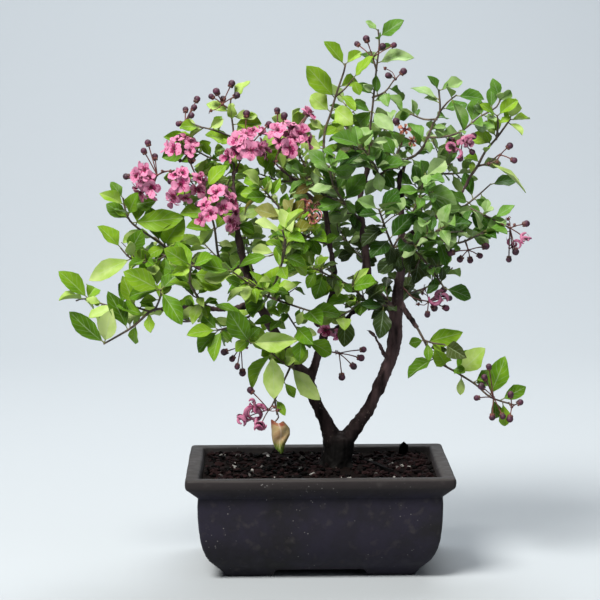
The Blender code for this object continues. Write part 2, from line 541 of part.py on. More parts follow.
def strewn_chips(draw, wall_inset):
    chips = []
    while len(chips) < SMALL_CHIPS:
        x = draw.uniform(-1, 1) * (RIM_HALF_X - wall_inset - CHIP_TO_WALL)
        y = draw.uniform(-1, 1) * (RIM_HALF_Y - wall_inset - CHIP_TO_WALL)
        if math.hypot(x - TRUNK_AT[0], y - TRUNK_AT[1]) < CHIP_TO_TRUNK:
            continue
        size = (draw.uniform(4, 7), draw.uniform(3, 5), draw.uniform(3, 4.5))
        z = SOIL_EDGE_Z + soil_height(x, y) + 0.4
        chips.append(chip((x, y, z), size, draw.uniform(0, math.pi), draw.uniform(-0.4, 0.4)))
    return chips


def trunk_hole():
    bm = bmesh.new()
    depth = 2 * (SOIL_EDGE_Z - HOLE_BOTTOM_Z)
    middle = Matrix.Translation((*TRUNK_AT, HOLE_BOTTOM_Z + depth / 2))
    bmesh.ops.create_cone(bm, cap_ends=True, segments=20, radius1=HOLE_RADIUS, radius2=HOLE_RADIUS,
                          depth=depth, matrix=middle)
    return new_object("trunk_hole", bm)


def make_soil():
    """The soil that fills the pot, lumpy on top, with chips in it and a plain hole for the trunk."""
    bm = bmesh.new()
    bends = [z for z, _ in reversed(INSIDE) if SOIL_BOTTOM_Z < z < SOIL_EDGE_Z]
    levels = [SOIL_BOTTOM_Z] + bends + [SOIL_EDGE_Z]
    loops = [rounded_loop(bm, inside_inset(z) + SOIL_TO_WALL, z) for z in levels]
    edge = loops[-1]
    for ring in range(1, SOIL_RINGS):
        share = 1 - ring / SOIL_RINGS
        loop = []
        for vert in edge:
            x, y = vert.co.x * share, vert.co.y * share
            loop.append(bm.verts.new((x, y, SOIL_EDGE_Z + soil_height(x, y))))
        loops.append(loop)
    skin_loops(bm, loops)
    bm.faces.new(loops[0])
    bm.faces.new(loops[-1])
    level_or_wide = [face for face in bm.faces if face.normal.z > 0.2 or len(face.verts) > 4]
    bmesh.ops.triangulate(bm, faces=level_or_wide)
    soil = new_object("soil", bm, material("soil_mix", (0.016, 0.01, 0.008, 1), 0.95))
    chips = strewn_chips(random.Random(SEED), inside_inset(SOIL_EDGE_Z))
    for (x, y, z), size, turn, tilt in LARGE_CHIPS:
        chips.append(chip((x, y, SOIL_EDGE_Z + z), size, turn, tilt))
    combine(soil, chips, "UNION", "MANIFOLD")
    combine(soil, [trunk_hole()], "DIFFERENCE", "MANIFOLD")
    return [soil]


# Growth: stems, leaves, flowers and buds as closed bodies, (points, triangles), in millimetres


def bridge(first, n, m):
    """Faces between a ring of n points, numbered from first, and the ring of m after it."""
    if n == m:
        return [(first + i, first + (i + 1) % n, first + n + (i + 1) % n, first + n + i) for i in range(n)]
    faces = []
    a, b = 0, 0
    last_a, last_b = n if n > 1 else 0, m if m > 1 else 0
    while a < last_a or b < last_b:
        low, high = first + a % n, first + n + b % m
        if b == last_b or (a < last_a and (a + 0.5) * m < (b + 0.5) * n):
            faces.append((low, first + (a + 1) % n, high))
            a += 1
        else:
            faces.append((low, first + n + (b + 1) % m, high))
            b += 1
    return faces


def solid(rings):
    """A closed body skinned over rings of points, whose counts may differ."""
    points, faces, first = [], [], 0
    for low, high in zip(rings, rings[1:]):
        faces += bridge(first, len(low), len(high))
        points += low
        first += len(low)
    points += rings[-1]
    for ring, start in ((rings[0], 0), (rings[-1], first)):
        if len(ring) > 2:
            faces.append(tuple(range(start, start + len(ring))))
    return points, faces


def ring_of(centre, side, other, radius, count, turn=0.0):
    angles = [turn + 2 * math.pi * i / count for i in range(count)]
    return [centre + radius * (side * math.cos(angle) + other * math.sin(angle)) for angle in angles]


class Stem:
    """A many-sided stem through points, mitred at its bends so that its sides stay flat."""

    def __init__(self, points, radii, sides):
        self.points = [Vector(point) for point in points]
        self.radii = radii
        self.sides = sides
        self.length = sum((b - a).length for a, b in zip(self.points, self.points[1:]))
        self.ways = [(b - a).normalized() for a, b in zip(self.points, self.points[1:])]
        way = self.ways[0]
        side = way.cross(UP if abs(way.z) < 0.95 else FRONT).normalized()
        self.across = [side]
        for before, after in zip(self.ways, self.ways[1:]):
            side = side - (before + after) * side.dot(after) / (1 + before.dot(after))
            self.across.append(side)

    def nearest(self, target):
        """(distance, point, direction, radius, whether it is the end) of the nearest point of the axis."""
        best = None
        for i, (a, b) in enumerate(zip(self.points, self.points[1:])):
            along = b - a
            share = min(max((target - a).dot(along) / along.length_squared, 0), 1)
            spot = a + along * share
            away = (target - spot).length
            if best is None or away < best[0]:
                at_end = i == len(self.ways) - 1 and (b - spot).length < 0.5
                best = (away, spot, self.ways[i], self.radii[i], at_end)
        return best

    def at(self, distance):
        """(point, direction, side, other side) this far along the axis."""
        segment = 0
        for i, (a, b) in enumerate(zip(self.points, self.points[1:])):
            segment = i
            if distance <= (b - a).length:
                break
            distance -= (b - a).length
        way, side = self.ways[segment], self.across[segment]
        return self.points[segment] + way * distance, way, side, way.cross(side)

    def shape(self, grow=0.0):
        rings = []
        for i, (centre, radius) in enumerate(zip(self.points, self.radii)):
            before = self.ways[max(i - 1, 0)]
            after = self.ways[min(i, len(self.ways) - 1)]
            side = self.across[max(i - 1, 0)]
            ring = []
            turn = math.pi / 3 if self.sides == 3 else 0.0
            for offset in ring_of(Vector(), side, before.cross(side), 1, self.sides, turn):
                offset -= before * offset.dot(after) / (1 + before.dot(after))
                ring.append(centre + offset * (radius + grow))
            rings.append(ring)
        return solid(rings)


BLADE_FACES = [
    (0, 2, 5), (2, 6, 9, 5), (6, 10, 9), (1, 4, 3), (3, 4, 8, 7), (7, 8, 11),
    (0, 1, 3, 2), (2, 3, 7, 6), (6, 7, 11, 10), (0, 5, 4, 1), (5, 9, 8, 4), (9, 10, 11, 8),
]


def blade(foot, direction, normal, size, droop, skip=0.0, spread=0.0):
    """A leaf bent down along its length at two sections, or what is left of it past the length skip."""
    length, width = size
    side = normal.cross(direction).normalized()
    up = direction.cross(side).normalized()
    rise = up * (BLADE_THICKNESS / 2 + spread)

    def middle(along):
        return foot + direction * along - up * droop * (along / length) ** 2 * length

    points = [middle(skip) + rise, middle(skip) - rise]
    for share, wide in zip(SECTIONS, (1.0, 0.86)):
        centre, across = middle(share * length), side * (wide * width / 2 + spread)
        points += [centre + across + rise, centre + across - rise,
                   centre - across - rise, centre - across + rise]
    return points + [middle(length + spread) + rise, middle(length + spread) - rise], BLADE_FACES


def flower(hub, spot, facing, radius, turn, spread=0.0):
    """Five clawed petals in a shallow cup, on a three-sided stalk from the hub."""
    side = facing.orthogonal().normalized()
    other = facing.cross(side)
    front = []
    for petal in range(5):
        for out, lift, swing in ((0.26, 0.04, -36), (1.0, 0.34, -20), (0.94, 0.18, 20)):
            angle = turn + math.radians(72 * petal + swing)
            around = side * math.cos(angle) + other * math.sin(angle)
            front.append(spot + (radius * out + spread) * around + (radius * lift + spread) * facing)
    back = [point - facing * (PETAL_THICKNESS + 2 * spread) for point in front]
    behind = spot - facing * 1.8 * PETAL_THICKNESS
    along = (behind - hub).normalized()
    first = (side - along * side.dot(along)).normalized()
    thick = PEDICEL_RADIUS + spread
    second = along.cross(first)
    stalk = [ring_of(place, first, second, thick, 3, turn) for place in (hub, behind)]
    return solid(stalk + [back, front, [spot + spread * facing]])


def bud(hub, spot, radius, turn, spread=0.0):
    """A round bud on a three-sided stalk from the hub."""
    along = (spot - hub).normalized()
    side = along.orthogonal().normalized()
    other = along.cross(side)
    radius += spread
    neck, waist = spot - along * radius, 0.5 * radius
    thick = PEDICEL_RADIUS + spread
    return solid([
        ring_of(hub, side, other, thick, 3, turn), ring_of(neck, side, other, thick, 3, turn),
        ring_of(spot - along * waist, side, other, radius, 4, turn),
        ring_of(spot + along * waist, side, other, radius, 4, turn + math.pi / 4), [spot + along * radius]])


def knot(centre):
    """The swelling that the stalks of an umbel spring from."""
    return solid([[centre - UP * KNOT_RADIUS], ring_of(centre, Vector((1, 0, 0)), Vector((0, 1, 0)),
                                                       KNOT_RADIUS, 4), [centre + UP * KNOT_RADIUS]])


class Plant:
    """The wood, sprays and umbels, each kept clear of what already stands in its way."""

    def __init__(self):
        self.stems = {}
        self.bodies = {}
        self.taken = []

    def take(self, node, kind, shape):
        low = [min(point[i] for point in shape[0]) for i in range(3)]
        high = [max(point[i] for point in shape[0]) for i in range(3)]
        self.taken.append((node, kind, low, high, BVHTree.FromPolygons(*shape)))
        self.bodies.setdefault(node, []).append(shape)

    def blocked(self, node, shape, own_kinds=None):
        """Whether the shape cuts into another node or, given kinds, into those of its own node."""
        low = [min(point[i] for point in shape[0]) for i in range(3)]
        high = [max(point[i] for point in shape[0]) for i in range(3)]
        tree = None
        for other, kind, other_low, other_high, other_tree in self.taken:
            if (kind not in own_kinds or other != node) if own_kinds else other == node:
                continue
            if any(low[i] > other_high[i] or high[i] < other_low[i] for i in range(3)):
                continue
            tree = tree or BVHTree.FromPolygons(*shape)
            if tree.overlap(other_tree):
                return True
        return False

    def add_stem(self, name, stem):
        self.stems.setdefault(name, []).append(stem)
        self.take("wood" if name in WOOD else name, "stem", stem.shape())

    def nearest(self, name, target):
        return min((stem.nearest(Vector(target)) for stem in self.stems[name]), key=lambda found: found[0])

    def spur(self, parent, foot, toward, radius, sides):
        """A stub of the parent's wood, and (start, heading) of what grows on past it."""
        _, spot, along, thick, at_end = self.nearest(parent, foot)
        heading = (Vector(toward) - spot).normalized()
        if at_end and heading.dot(along) > 0.7:
            return spot + along * GAP, along
        spread = max(heading.cross(along).length, 0.3)
        end = spot + heading * ((thick + radius + 0.8) / spread + 1.2)
        stub = Stem([spot, end], [radius] * 2, sides)
        self.take("wood" if parent in WOOD else parent, "stem", stub.shape())
        return end + heading * GAP, heading

    def clear_stem(self, node, points, radius, sides, draw):
        """A stem through the points, with all but its first two shifted until it stands clear."""
        for attempt in range(30):
            shift = 0.5 * attempt
            moved = points[:2] + [point + Vector([draw.uniform(-shift, shift) for _ in range(3)])
                                  for point in points[2:]]
            stem = Stem(moved, [radius] * len(moved), sides)
            if not self.blocked(node, stem.shape(CLEAR)):
                break
        else:
            print("no clear way for a stem of", node)
        self.add_stem(node, stem)
        return stem


def grow_wood(plant):
    for name, points in WOOD.items():
        sides = 10 if name == "trunk" else 7 if "trunk" in name else 5
        plant.add_stem(name, Stem([point[:3] for point in points], [point[3] for point in points], sides))


def grow_spray_stems(plant, name):
    parent, _, routes, _ = SPRAYS[name]
    draw = random.Random(f"{name} stems {SEED}")
    points = [Vector(point) for point in routes[0]]
    start, heading = plant.spur(parent, points[0], points[1], TWIG_RADIUS, 3)
    rest = [point for point in points[1:] if (point - start).length > 3]
    plant.clear_stem(name, [start, start + heading * 1.5] + rest, TWIG_RADIUS, 3, draw)
    for route in routes[1:]:
        points = [Vector(point) for point in route]
        points[0] = plant.nearest(name, points[0])[1]
        plant.clear_stem(name, points, SIDE_TWIG_RADIUS, 3, draw)


def grow_umbel(plant, name):
    parent, stalk, buds, flowers = UMBELS[name]
    draw = random.Random(f"{name} {SEED}")
    points = [Vector(point) for point in stalk]
    start, heading = plant.spur(parent, points[0], points[1], STALK_RADIUS, 3)
    rest = [point for point in points[1:] if (point - start).dot(heading) > 2.5] or [start + heading * 3]
    stem = plant.clear_stem(name, [start, start + heading * 1.2] + rest, STALK_RADIUS, 3, draw)
    hub = stem.points[-1]
    plant.take(name, "stem", knot(hub))
    for x, y, z, radius in flowers + [(*spot, BUD_RADIUS) for spot in buds]:
        for attempt in range(40):
            shift = 0.2 * attempt
            spot = Vector((x, y, z)) + Vector([draw.uniform(-shift, shift) for _ in range(3)])
            facing = ((spot - hub).normalized() + 0.6 * FRONT).normalized()
            turn = draw.uniform(0, 1.2)
            foot = hub + (spot - hub).normalized() * 0.3 * KNOT_RADIUS
            short = hub + (spot - hub) * 0.45
            if radius > BUD_RADIUS:
                shape, wide, head = (flower(start, spot, facing, radius, turn, spread)
                                     for start, spread in ((foot, 0), (foot, CLEAR), (short, 0.2)))
            else:
                shape, wide, head = (bud(start, spot, radius, turn, spread)
                                     for start, spread in ((foot, 0), (foot, CLEAR), (short, 0.2)))
            if not plant.blocked(name, wide) and not plant.blocked(name, head, ("bloom", "stem")):
                plant.take(name, "bloom", shape)
                break
        else:
            print("no room for a bloom of", name)


def try_leaf(plant, node, foot, direction, normal, size, draw):
    """Places a leaf where it cuts through nothing, turning and shortening it step by step."""
    for attempt in range(LEAF_TRIES):
        loose = 0.05 * attempt
        heading = (direction + Vector([draw.uniform(-loose, loose) for _ in range(3)])).normalized()
        face = normal + Vector([draw.uniform(-loose, loose) for _ in range(3)])
        face = (face - heading * face.dot(heading)).normalized()
        scale = 1 - 0.025 * attempt
        wanted = (size[0] * scale, size[1] * scale)
        droop = draw.uniform(0.0, 0.16)
        if plant.blocked(node, blade(foot, heading, face, wanted, droop, 2.5, 0.2), ("leaf", "bloom")):
            continue
        if plant.blocked(node, blade(foot, heading, face, wanted, droop, 5.0, 0.2), ("stem",)):
            continue
        if plant.blocked(node, blade(foot, heading, face, wanted, droop, 0.0, CLEAR)):
            continue
        plant.take(node, "leaf", blade(foot, heading, face, wanted, droop))
        return


def grow_placed_leaves(plant, name):
    """The leaves that stand out in the outline, turned so that they show the given width in front."""
    draw = random.Random(f"{name} placed {SEED}")
    for foot, tip, seen in SPRAYS[name][3]:
        _, base, along, _, at_end = plant.nearest(name, foot)
        if at_end:
            base = base - along * END_MARGIN
        way = Vector(tip) - base
        direction = way.normalized()
        width = max(seen, min(0.5 * way.length, 15))
        roll = math.acos(seen / width) * (1 if direction.x < 0 else -1)
        facing = (FRONT - direction * FRONT.dot(direction)).normalized()
        facing.rotate(Matrix.Rotation(roll, 3, direction))
        try_leaf(plant, name, base, direction, facing, (way.length, width), draw)


def in_clearing(tip):
    """Whether a leaf's tip would stand in one of the open places."""
    seen = VIEW_FROM + (tip - VIEW_FROM) * VIEW_FROM.y / (VIEW_FROM.y - tip.y)
    return any(math.hypot(seen.x - x, seen.z - z) < radius for x, z, radius in CLEARINGS)


def grow_rule_leaves(plant, name):
    """Opposite pairs along each stem, turned a quarter from pair to pair and held up to the light."""
    leaf_length, placed = SPRAYS[name][1], SPRAYS[name][3]
    draw = random.Random(f"{name} leaves {SEED}")
    feet = [Vector(foot) for foot, _, _ in placed]
    for index, stem in enumerate(plant.stems[name]):
        distance = stem.length - END_MARGIN
        pair = draw.randrange(2)
        while distance > (9 if index == 0 else 6):
            foot, along, side, other = stem.at(distance)
            at_tip = distance > stem.length - 2
            outward = Vector((foot.x, foot.y, 0.4 * (foot.z - 200))).normalized()
            across = side if pair % 2 or at_tip else 0.5 * side + 0.866 * other
            for way in (1, -1):
                direction = across * way + along * (1.1 if at_tip else 0.55) + outward * 0.25
                direction.z *= 0.75
                direction.normalize()
                light = Vector((0, -1 if foot.y < 20 else 1, 0))
                normal = 0.8 * UP + outward * draw.uniform(0.0, 0.6) + light * draw.uniform(0.5, 1.4)
                normal = (normal - direction * normal.dot(direction)).normalized()
                length = leaf_length * draw.uniform(0.92, 1.15) * (0.88 if at_tip else 1)
                apart = all((foot - other).length > 9 for other in feet)
                if apart and not in_clearing(foot + direction * length):
                    size = (length, LEAF_ASPECT * length)
                    try_leaf(plant, name, foot, direction, normal, size, draw)
            pair += 1
            share = SHADED_SPACING if foot.y > 15 else LEAF_SPACING
            distance -= share * leaf_length * draw.uniform(0.85, 1.15)


def grow_dried_leaf(plant):
    parent, foot, tip, width = DRIED_LEAF
    start, heading = plant.spur(parent, foot, tip, STALK_RADIUS, 3)
    plant.add_stem("dried_leaf", Stem([start, start + heading * 6], [STALK_RADIUS] * 2, 3))
    base = start + heading * 3
    way = Vector(tip) - base
    try_leaf(plant, "dried_leaf", base, way.normalized(), FRONT, (way.length, width),
             random.Random(SEED))


def grow_plant():
    plant = Plant()
    grow_wood(plant)
    for name in SPRAYS:
        grow_spray_stems(plant, name)
    for name in UMBELS:
        grow_umbel(plant, name)
    grow_dried_leaf(plant)
    for name in SPRAYS:
        grow_placed_leaves(plant, name)
    for name in SPRAYS:
        grow_rule_leaves(plant, name)
    return plant


def fuse(name, shapes, finish):
    """One object of all the node's bodies."""
    bodies = []
    for points, faces in shapes:
        bm = bmesh.new()
        verts = [bm.verts.new(point) for point in points]
        for face in faces:
            bm.faces.new([verts[i] for i in face])
        bodies.append(new_object("body", bm))
    whole = bodies[0]
    whole.name = name
    combine(whole, bodies[1:], "UNION", "EXACT")
    whole.data.name = name
    whole.data.materials.clear()
    whole.data.materials.append(finish)
    return whole


def make_plant():
    plant = grow_plant()
    made = []
    for name, shapes in plant.bodies.items():
        if name == "wood":
            finish = material("bark", BARK, 0.85)
        elif name == "dried_leaf":
            finish = material("dried_leaf", DRY, 0.7)
        elif name in SPRAYS:
            finish = material(name + "_leaf", LEAF_DEEP if name in DEEP_SPRAYS else LEAF_GREEN, 0.5)
        else:
            finish = material(name + "_bloom", PINK if UMBELS[name][3] else PURPLE, 0.55)
        made.append(fuse(name, shapes, finish))
    return made


def stand_on_origin(nodes):
    """Carries everything on an empty that puts the origin under the middle of the whole box."""
    bpy.context.view_layer.update()
    corners = [node.matrix_world @ Vector(corner) for node in nodes for corner in node.bound_box]
    base = bpy.data.objects.new("plant_base", None)
    bpy.context.scene.collection.objects.link(base)
    middle = [(min(c[i] for c in corners) + max(c[i] for c in corners)) / 2 for i in (0, 1)]
    base.location = (-middle[0], -middle[1], 0)
    for node in nodes:
        node.parent = base


clear_scene()
stand_on_origin(make_pot() + make_gauzes() + make_soil() + make_plant())
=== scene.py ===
"""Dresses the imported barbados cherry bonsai: its pot, soil, bark, leaves, flowers and buds.

Every shape is worked out in millimetres from the middle of the pot's base (x to the right, y to the back,
z up), as the solids were, and is carried into the frame, in metres, when its piece is finished.
"""

import math
import random

import bmesh
import bpy
from mathutils import Matrix, Vector, noise
from mathutils.bvhtree import BVHTree


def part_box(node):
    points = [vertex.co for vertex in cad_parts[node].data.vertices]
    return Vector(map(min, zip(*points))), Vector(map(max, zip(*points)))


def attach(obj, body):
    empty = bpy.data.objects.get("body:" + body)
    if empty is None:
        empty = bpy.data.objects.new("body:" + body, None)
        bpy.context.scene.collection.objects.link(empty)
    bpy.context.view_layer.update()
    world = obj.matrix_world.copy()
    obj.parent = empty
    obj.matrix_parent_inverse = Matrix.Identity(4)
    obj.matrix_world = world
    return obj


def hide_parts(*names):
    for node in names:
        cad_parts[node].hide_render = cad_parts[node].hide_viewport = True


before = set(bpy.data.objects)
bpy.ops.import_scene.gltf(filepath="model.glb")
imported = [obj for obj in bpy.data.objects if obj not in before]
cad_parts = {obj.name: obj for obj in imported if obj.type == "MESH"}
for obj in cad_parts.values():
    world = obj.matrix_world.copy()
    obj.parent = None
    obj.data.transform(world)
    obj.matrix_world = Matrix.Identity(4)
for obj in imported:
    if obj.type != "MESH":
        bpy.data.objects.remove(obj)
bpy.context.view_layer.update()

# The view
# A plain pale floor and backdrop in soft studio light, seen from in front of the pot and a little above
# its rim, as the photograph was taken. These sizes are in metres.

LENS_ANGLE = 15.12
LENS_PLACE = (-0.0140, -1.7550, 0.4175)
LENS_DOWN = 6.77
LENS_ROUND = -0.8
LENS_ROLL = -0.25
SHEET_HALF = 3.0
SHEET_EDGE = 2.9
SHEET_RISE = 4.0
SHEET_BEND = 1.9
PAPER = (0.368, 0.395, 0.424, 1)
SKY = (0.90, 0.94, 1.0, 1)
SKY_STRENGTH = 0.09
# Lamps: name, place, what it is aimed at, width, power, colour
LAMPS = [
    ("key", (-0.9, -1.3, 2.1), (0, 0, 0.25), 1.1, 118, (1.0, 0.98, 0.92)),
    ("fill", (1.6, -1.2, 1.0), (0, 0, 0.3), 1.4, 6, (0.92, 0.96, 1.0)),
    ("behind", (0.5, 0.9, 1.6), (0, 0, 0.3), 0.8, 10, (1.0, 1.0, 0.96)),
    ("backdrop", (0, 1.2, 2.6), (0, 2.3, 0.1), 1.6, 64, (0.93, 0.97, 1.0)),
]

pot_low, pot_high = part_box("pot")
pot_middle = Vector(((pot_low.x + pot_high.x) / 2, (pot_low.y + pot_high.y) / 2, 0))


def placed(name, data):
    """A new object of this data, in the scene."""
    thing = bpy.data.objects.new(name, data)
    bpy.context.scene.collection.objects.link(thing)
    return thing


def mesh_of(name, bm):
    """The bmesh as a mesh."""
    mesh = bpy.data.meshes.new(name)
    bm.to_mesh(mesh)
    bm.free()
    return mesh


lens = bpy.data.cameras.new("camera")
lens.angle = math.radians(LENS_ANGLE)
camera = placed("camera", lens)
orbit = Matrix.Rotation(math.radians(LENS_ROUND), 4, "Z")
down = Matrix.Rotation(math.radians(90 - LENS_DOWN), 4, "X")
roll = Matrix.Rotation(math.radians(LENS_ROLL), 4, "Z")
camera.matrix_world = Matrix.Translation(pot_middle) @ orbit @ Matrix.Translation(LENS_PLACE) @ (down @ roll)
bpy.context.scene.camera = camera

sweep = bmesh.new()
bmesh.ops.create_grid(sweep, x_segments=1, y_segments=1, size=SHEET_HALF)
back_edge = [edge for edge in sweep.edges if all(vert.co.y > SHEET_EDGE for vert in edge.verts)]
risen = bmesh.ops.extrude_edge_only(sweep, edges=back_edge)["geom"]
risen_verts = [part for part in risen if isinstance(part, bmesh.types.BMVert)]
bmesh.ops.translate(sweep, verts=risen_verts, vec=(0, 0, SHEET_RISE))
corner = [edge for edge in sweep.edges
          if all(vert.co.y > SHEET_EDGE and vert.co.z < 0.1 for vert in edge.verts)]
bmesh.ops.bevel(sweep, geom=corner, offset=SHEET_BEND, segments=32, profile=0.5, affect="EDGES", material=-1)
for vert in sweep.verts:
    vert.co.x *= 3
    vert.co.y -= 4 * (vert.co.y < -SHEET_EDGE)
floor_mesh = mesh_of("floor", sweep)
floor_mesh.shade_smooth()
paper = bpy.data.materials.new("backdrop_paper")
paper.use_nodes = True
paper_inputs = paper.node_tree.nodes["Principled BSDF"].inputs
paper_inputs["Base Color"].default_value = PAPER
paper_inputs["Roughness"].default_value = 0.9
floor_mesh.materials.append(paper)
floor = placed("floor", floor_mesh)

world = bpy.data.worlds.new("studio")
world.use_nodes = True
world.node_tree.nodes["Background"].inputs["Color"].default_value = SKY
world.node_tree.nodes["Background"].inputs["Strength"].default_value = SKY_STRENGTH
bpy.context.scene.world = world
bpy.context.scene.view_settings.view_transform = "Standard"
for name, place, target, width, power, colour in LAMPS:
    lamp = bpy.data.lights.new(name, "AREA")
    lamp.shape = "DISK"
    lamp.size = width
    lamp.energy = power
    lamp.color = colour
    holder = placed(name, lamp)
    holder.location = place
    holder.rotation_euler = (Vector(target) - Vector(place)).to_track_quat("-Z", "Y").to_euler()


# The pot
# An oblong pot of dark unglazed stoneware, pressed in a mould: a thick rolled lip over straight walls that
# round under to four low corner feet, with two drain holes in the floor.

RIM_HALF = (103.0, 76.0)
FOOT_HEIGHT = 6.0
FOOT_CORNER = 2.25
CORNER_SEGMENTS = 7
LONG_CUTS = 26
# Profiles: (height, inset from the rim's half sizes), up the outside and down the inside
POT_OUTSIDE = [
    (0.0, 31.0), (0.5, 29.9), (1.6, 28.9), (6.0, 26.0), (10.3, 21.6), (14.6, 17.7), (19.0, 15.0),
    (25.0, 12.6), (31.0, 11.1), (40.0, 10.0), (50.0, 9.3), (59.0, 9.2), (65.0, 9.5), (65.8, 8.9),
    (69.2, 5.3), (72.2, 2.1), (73.2, 1.0), (74.6, 0.3), (77.0, 0.0), (79.2, 0.1), (80.3, 0.5), (80.9, 1.3),
]
POT_INSIDE = [
    (81.0, 2.4), (80.9, 9.0), (80.4, 10.3), (79.2, 11.1), (67.0, 13.4), (30.0, 16.2), (18.0, 21.4),
    (10.5, 29.5),
]
# Gaps between the feet: half widths at the top and at the floor, and the axis that they are measured along
FOOT_GAPS = [((34, 39), "x"), ((18, 22), "y")]
GAP_EDGE = 2.0
DRAIN_RADIUS = 6.5
DRAIN_X = 38.0
# How far the walls swell in and out, over broad and over small stretches, and how far they stand in
UNEVEN_BROAD = 0.35
UNEVEN_SMALL = 0.15
UNEVEN_IN = 0.1
CREASE = 38
# Colours of the clay: its darkest, a bluer one in patches, the browner lip, where it is worn, and its specks
CLAY = (0.0085, 0.0078, 0.0095, 1)
CLAY_VIOLET = (0.0140, 0.0120, 0.0225, 1)
CLAY_BROWN = (0.018, 0.0145, 0.0155, 1)
CLAY_WORN = (0.050, 0.045, 0.044, 1)
CLAY_SPECK = (0.24, 0.23, 0.23, 1)
# Heights, in metres, over which the lip turns browner and its top is worn
LIP_FROM_TO = (0.066, 0.074)
TOP_FROM_TO = (0.0795, 0.0808)

into_frame = Matrix.Translation(pot_middle) @ Matrix.Scale(0.001, 4)


class Paint:
    """A new material, and short ways to add its nodes: an input given a socket is linked, else it is set."""

    def __init__(self, name):
        self.look = bpy.data.materials.new(name)
        self.look.use_nodes = True
        self.tree = self.look.node_tree
        self.shader = self.tree.nodes["Principled BSDF"]

    def feed(self, node, inputs):
        """Sets or links the inputs of a node, by name or number."""
        for name, value in inputs.items():
            if isinstance(value, bpy.types.NodeSocket):
                self.tree.links.new(value, node.inputs[name])
            else:
                node.inputs[name].default_value = value

    def add(self, kind, inputs, **settings):
        node = self.tree.nodes.new(f"ShaderNode{kind}")
        for name, value in settings.items():
            setattr(node, name, value)
        self.feed(node, inputs)
        return node

    def where(self):
        """The place on the object."""
        return self.add("TexCoord", {}).outputs["Object"]

    def height(self):
        """The height above the floor, in metres."""
        return self.add("SeparateXYZ", {"Vector": self.where()}).outputs["Z"]

    def map_of(self, name):
        """A UV map and its two values."""
        both = self.add("UVMap", {}, uv_map=name).outputs["UV"]
        parts = self.add("SeparateXYZ", {"Vector": both}).outputs
        return both, parts["X"], parts["Y"]

    def blots(self, scale, detail=2.0, roughness=0.5, at=None):
        """Noise that stays on the object."""
        where = self.where() if at is None else at
        inputs = {"Vector": where, "Scale": scale, "Detail": detail, "Roughness": roughness}
        return self.add("TexNoise", inputs).outputs["Fac"]

    def graded(self, value, low, high, to_low=0.0, to_high=1.0):
        """The value, spread from one range to another and kept inside it."""
        inputs = {"Value": value, "From Min": low, "From Max": high, "To Min": to_low, "To Max": to_high}
        return self.add("MapRange", inputs).outputs["Result"]

    def ramp(self, level, *stops):
        """A colour by level, through stops of (position, colour)."""
        node = self.add("ValToRGB", {"Fac": level})
        elements = node.color_ramp.elements
        for position, _ in stops[1:-1]:
            elements.new(position)
        for element, (position, colour) in zip(elements, stops):
            element.position = position
            element.color = colour
        return node.outputs["Color"]

    def maths(self, operation, *values):
        """The result of a Math node."""
        return self.add("Math", dict(enumerate(values)), operation=operation).outputs["Value"]

    def blend(self, factor, a, b):
        """A colour between two others."""
        return self.add("Mix", {"Factor": factor, "A": a, "B": b}, data_type="RGBA").outputs["Result"]

    def specks(self, scale, near, far, patches):
        """Small dots, crowded together in patches."""
        away = self.add("TexVoronoi", {"Vector": self.where(), "Scale": scale}).outputs["Distance"]
        dots = self.ramp(away, (near, (0.8, 0.8, 0.8, 1)), (far, (0, 0, 0, 1)))
        return self.maths("MULTIPLY", dots, self.graded(self.blots(patches), 0.53, 0.66))

    def coat(self, colour, pattern, low, high, specular=0.5):
        """The colour, with roughness that follows the pattern between two values."""
        rough = self.graded(pattern, 0.3, 0.7, low, high)
        self.feed(self.shader, {"Base Color": colour, "Roughness": rough, "Specular IOR Level": specular})

    def relief(self, pattern, strength, depth):
        """Fine relief that follows the pattern, its depth in metres."""
        bump = self.add("Bump", {"Height": pattern, "Strength": strength, "Distance": depth})
        self.feed(self.shader, {"Normal": bump.outputs["Normal"]})


def carried(bm, crease=None):
    """The bmesh as a mesh in the frame, smooth up to the crease angle if one is given."""
    bmesh.ops.transform(bm, matrix=into_frame, verts=bm.verts)
    mesh = mesh_of("shape", bm)
    if crease:
        mesh.shade_smooth()
        mesh.set_sharp_from_angle(angle=math.radians(crease))
    return mesh


def piece_of(name, mesh, looks, slot, *nodes):
    """An object of this mesh that rides on the plant's body and stands for the nodes."""
    mesh.name = name
    for look in looks:
        mesh.materials.append(look)
    piece = placed(name, mesh)
    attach(piece, "root")
    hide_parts(*nodes)


def drawn_out(bm, cap):
    """Extrudes the open end of a closed shape and returns its new end face."""
    grown = bmesh.ops.extrude_face_region(bm, geom=[cap])["geom"]
    if len(bm.faces) > len(cap.verts) + 2:
        bmesh.ops.delete(bm, geom=[cap], context="FACES_ONLY")
    return next(part for part in grown if isinstance(part, bmesh.types.BMFace))


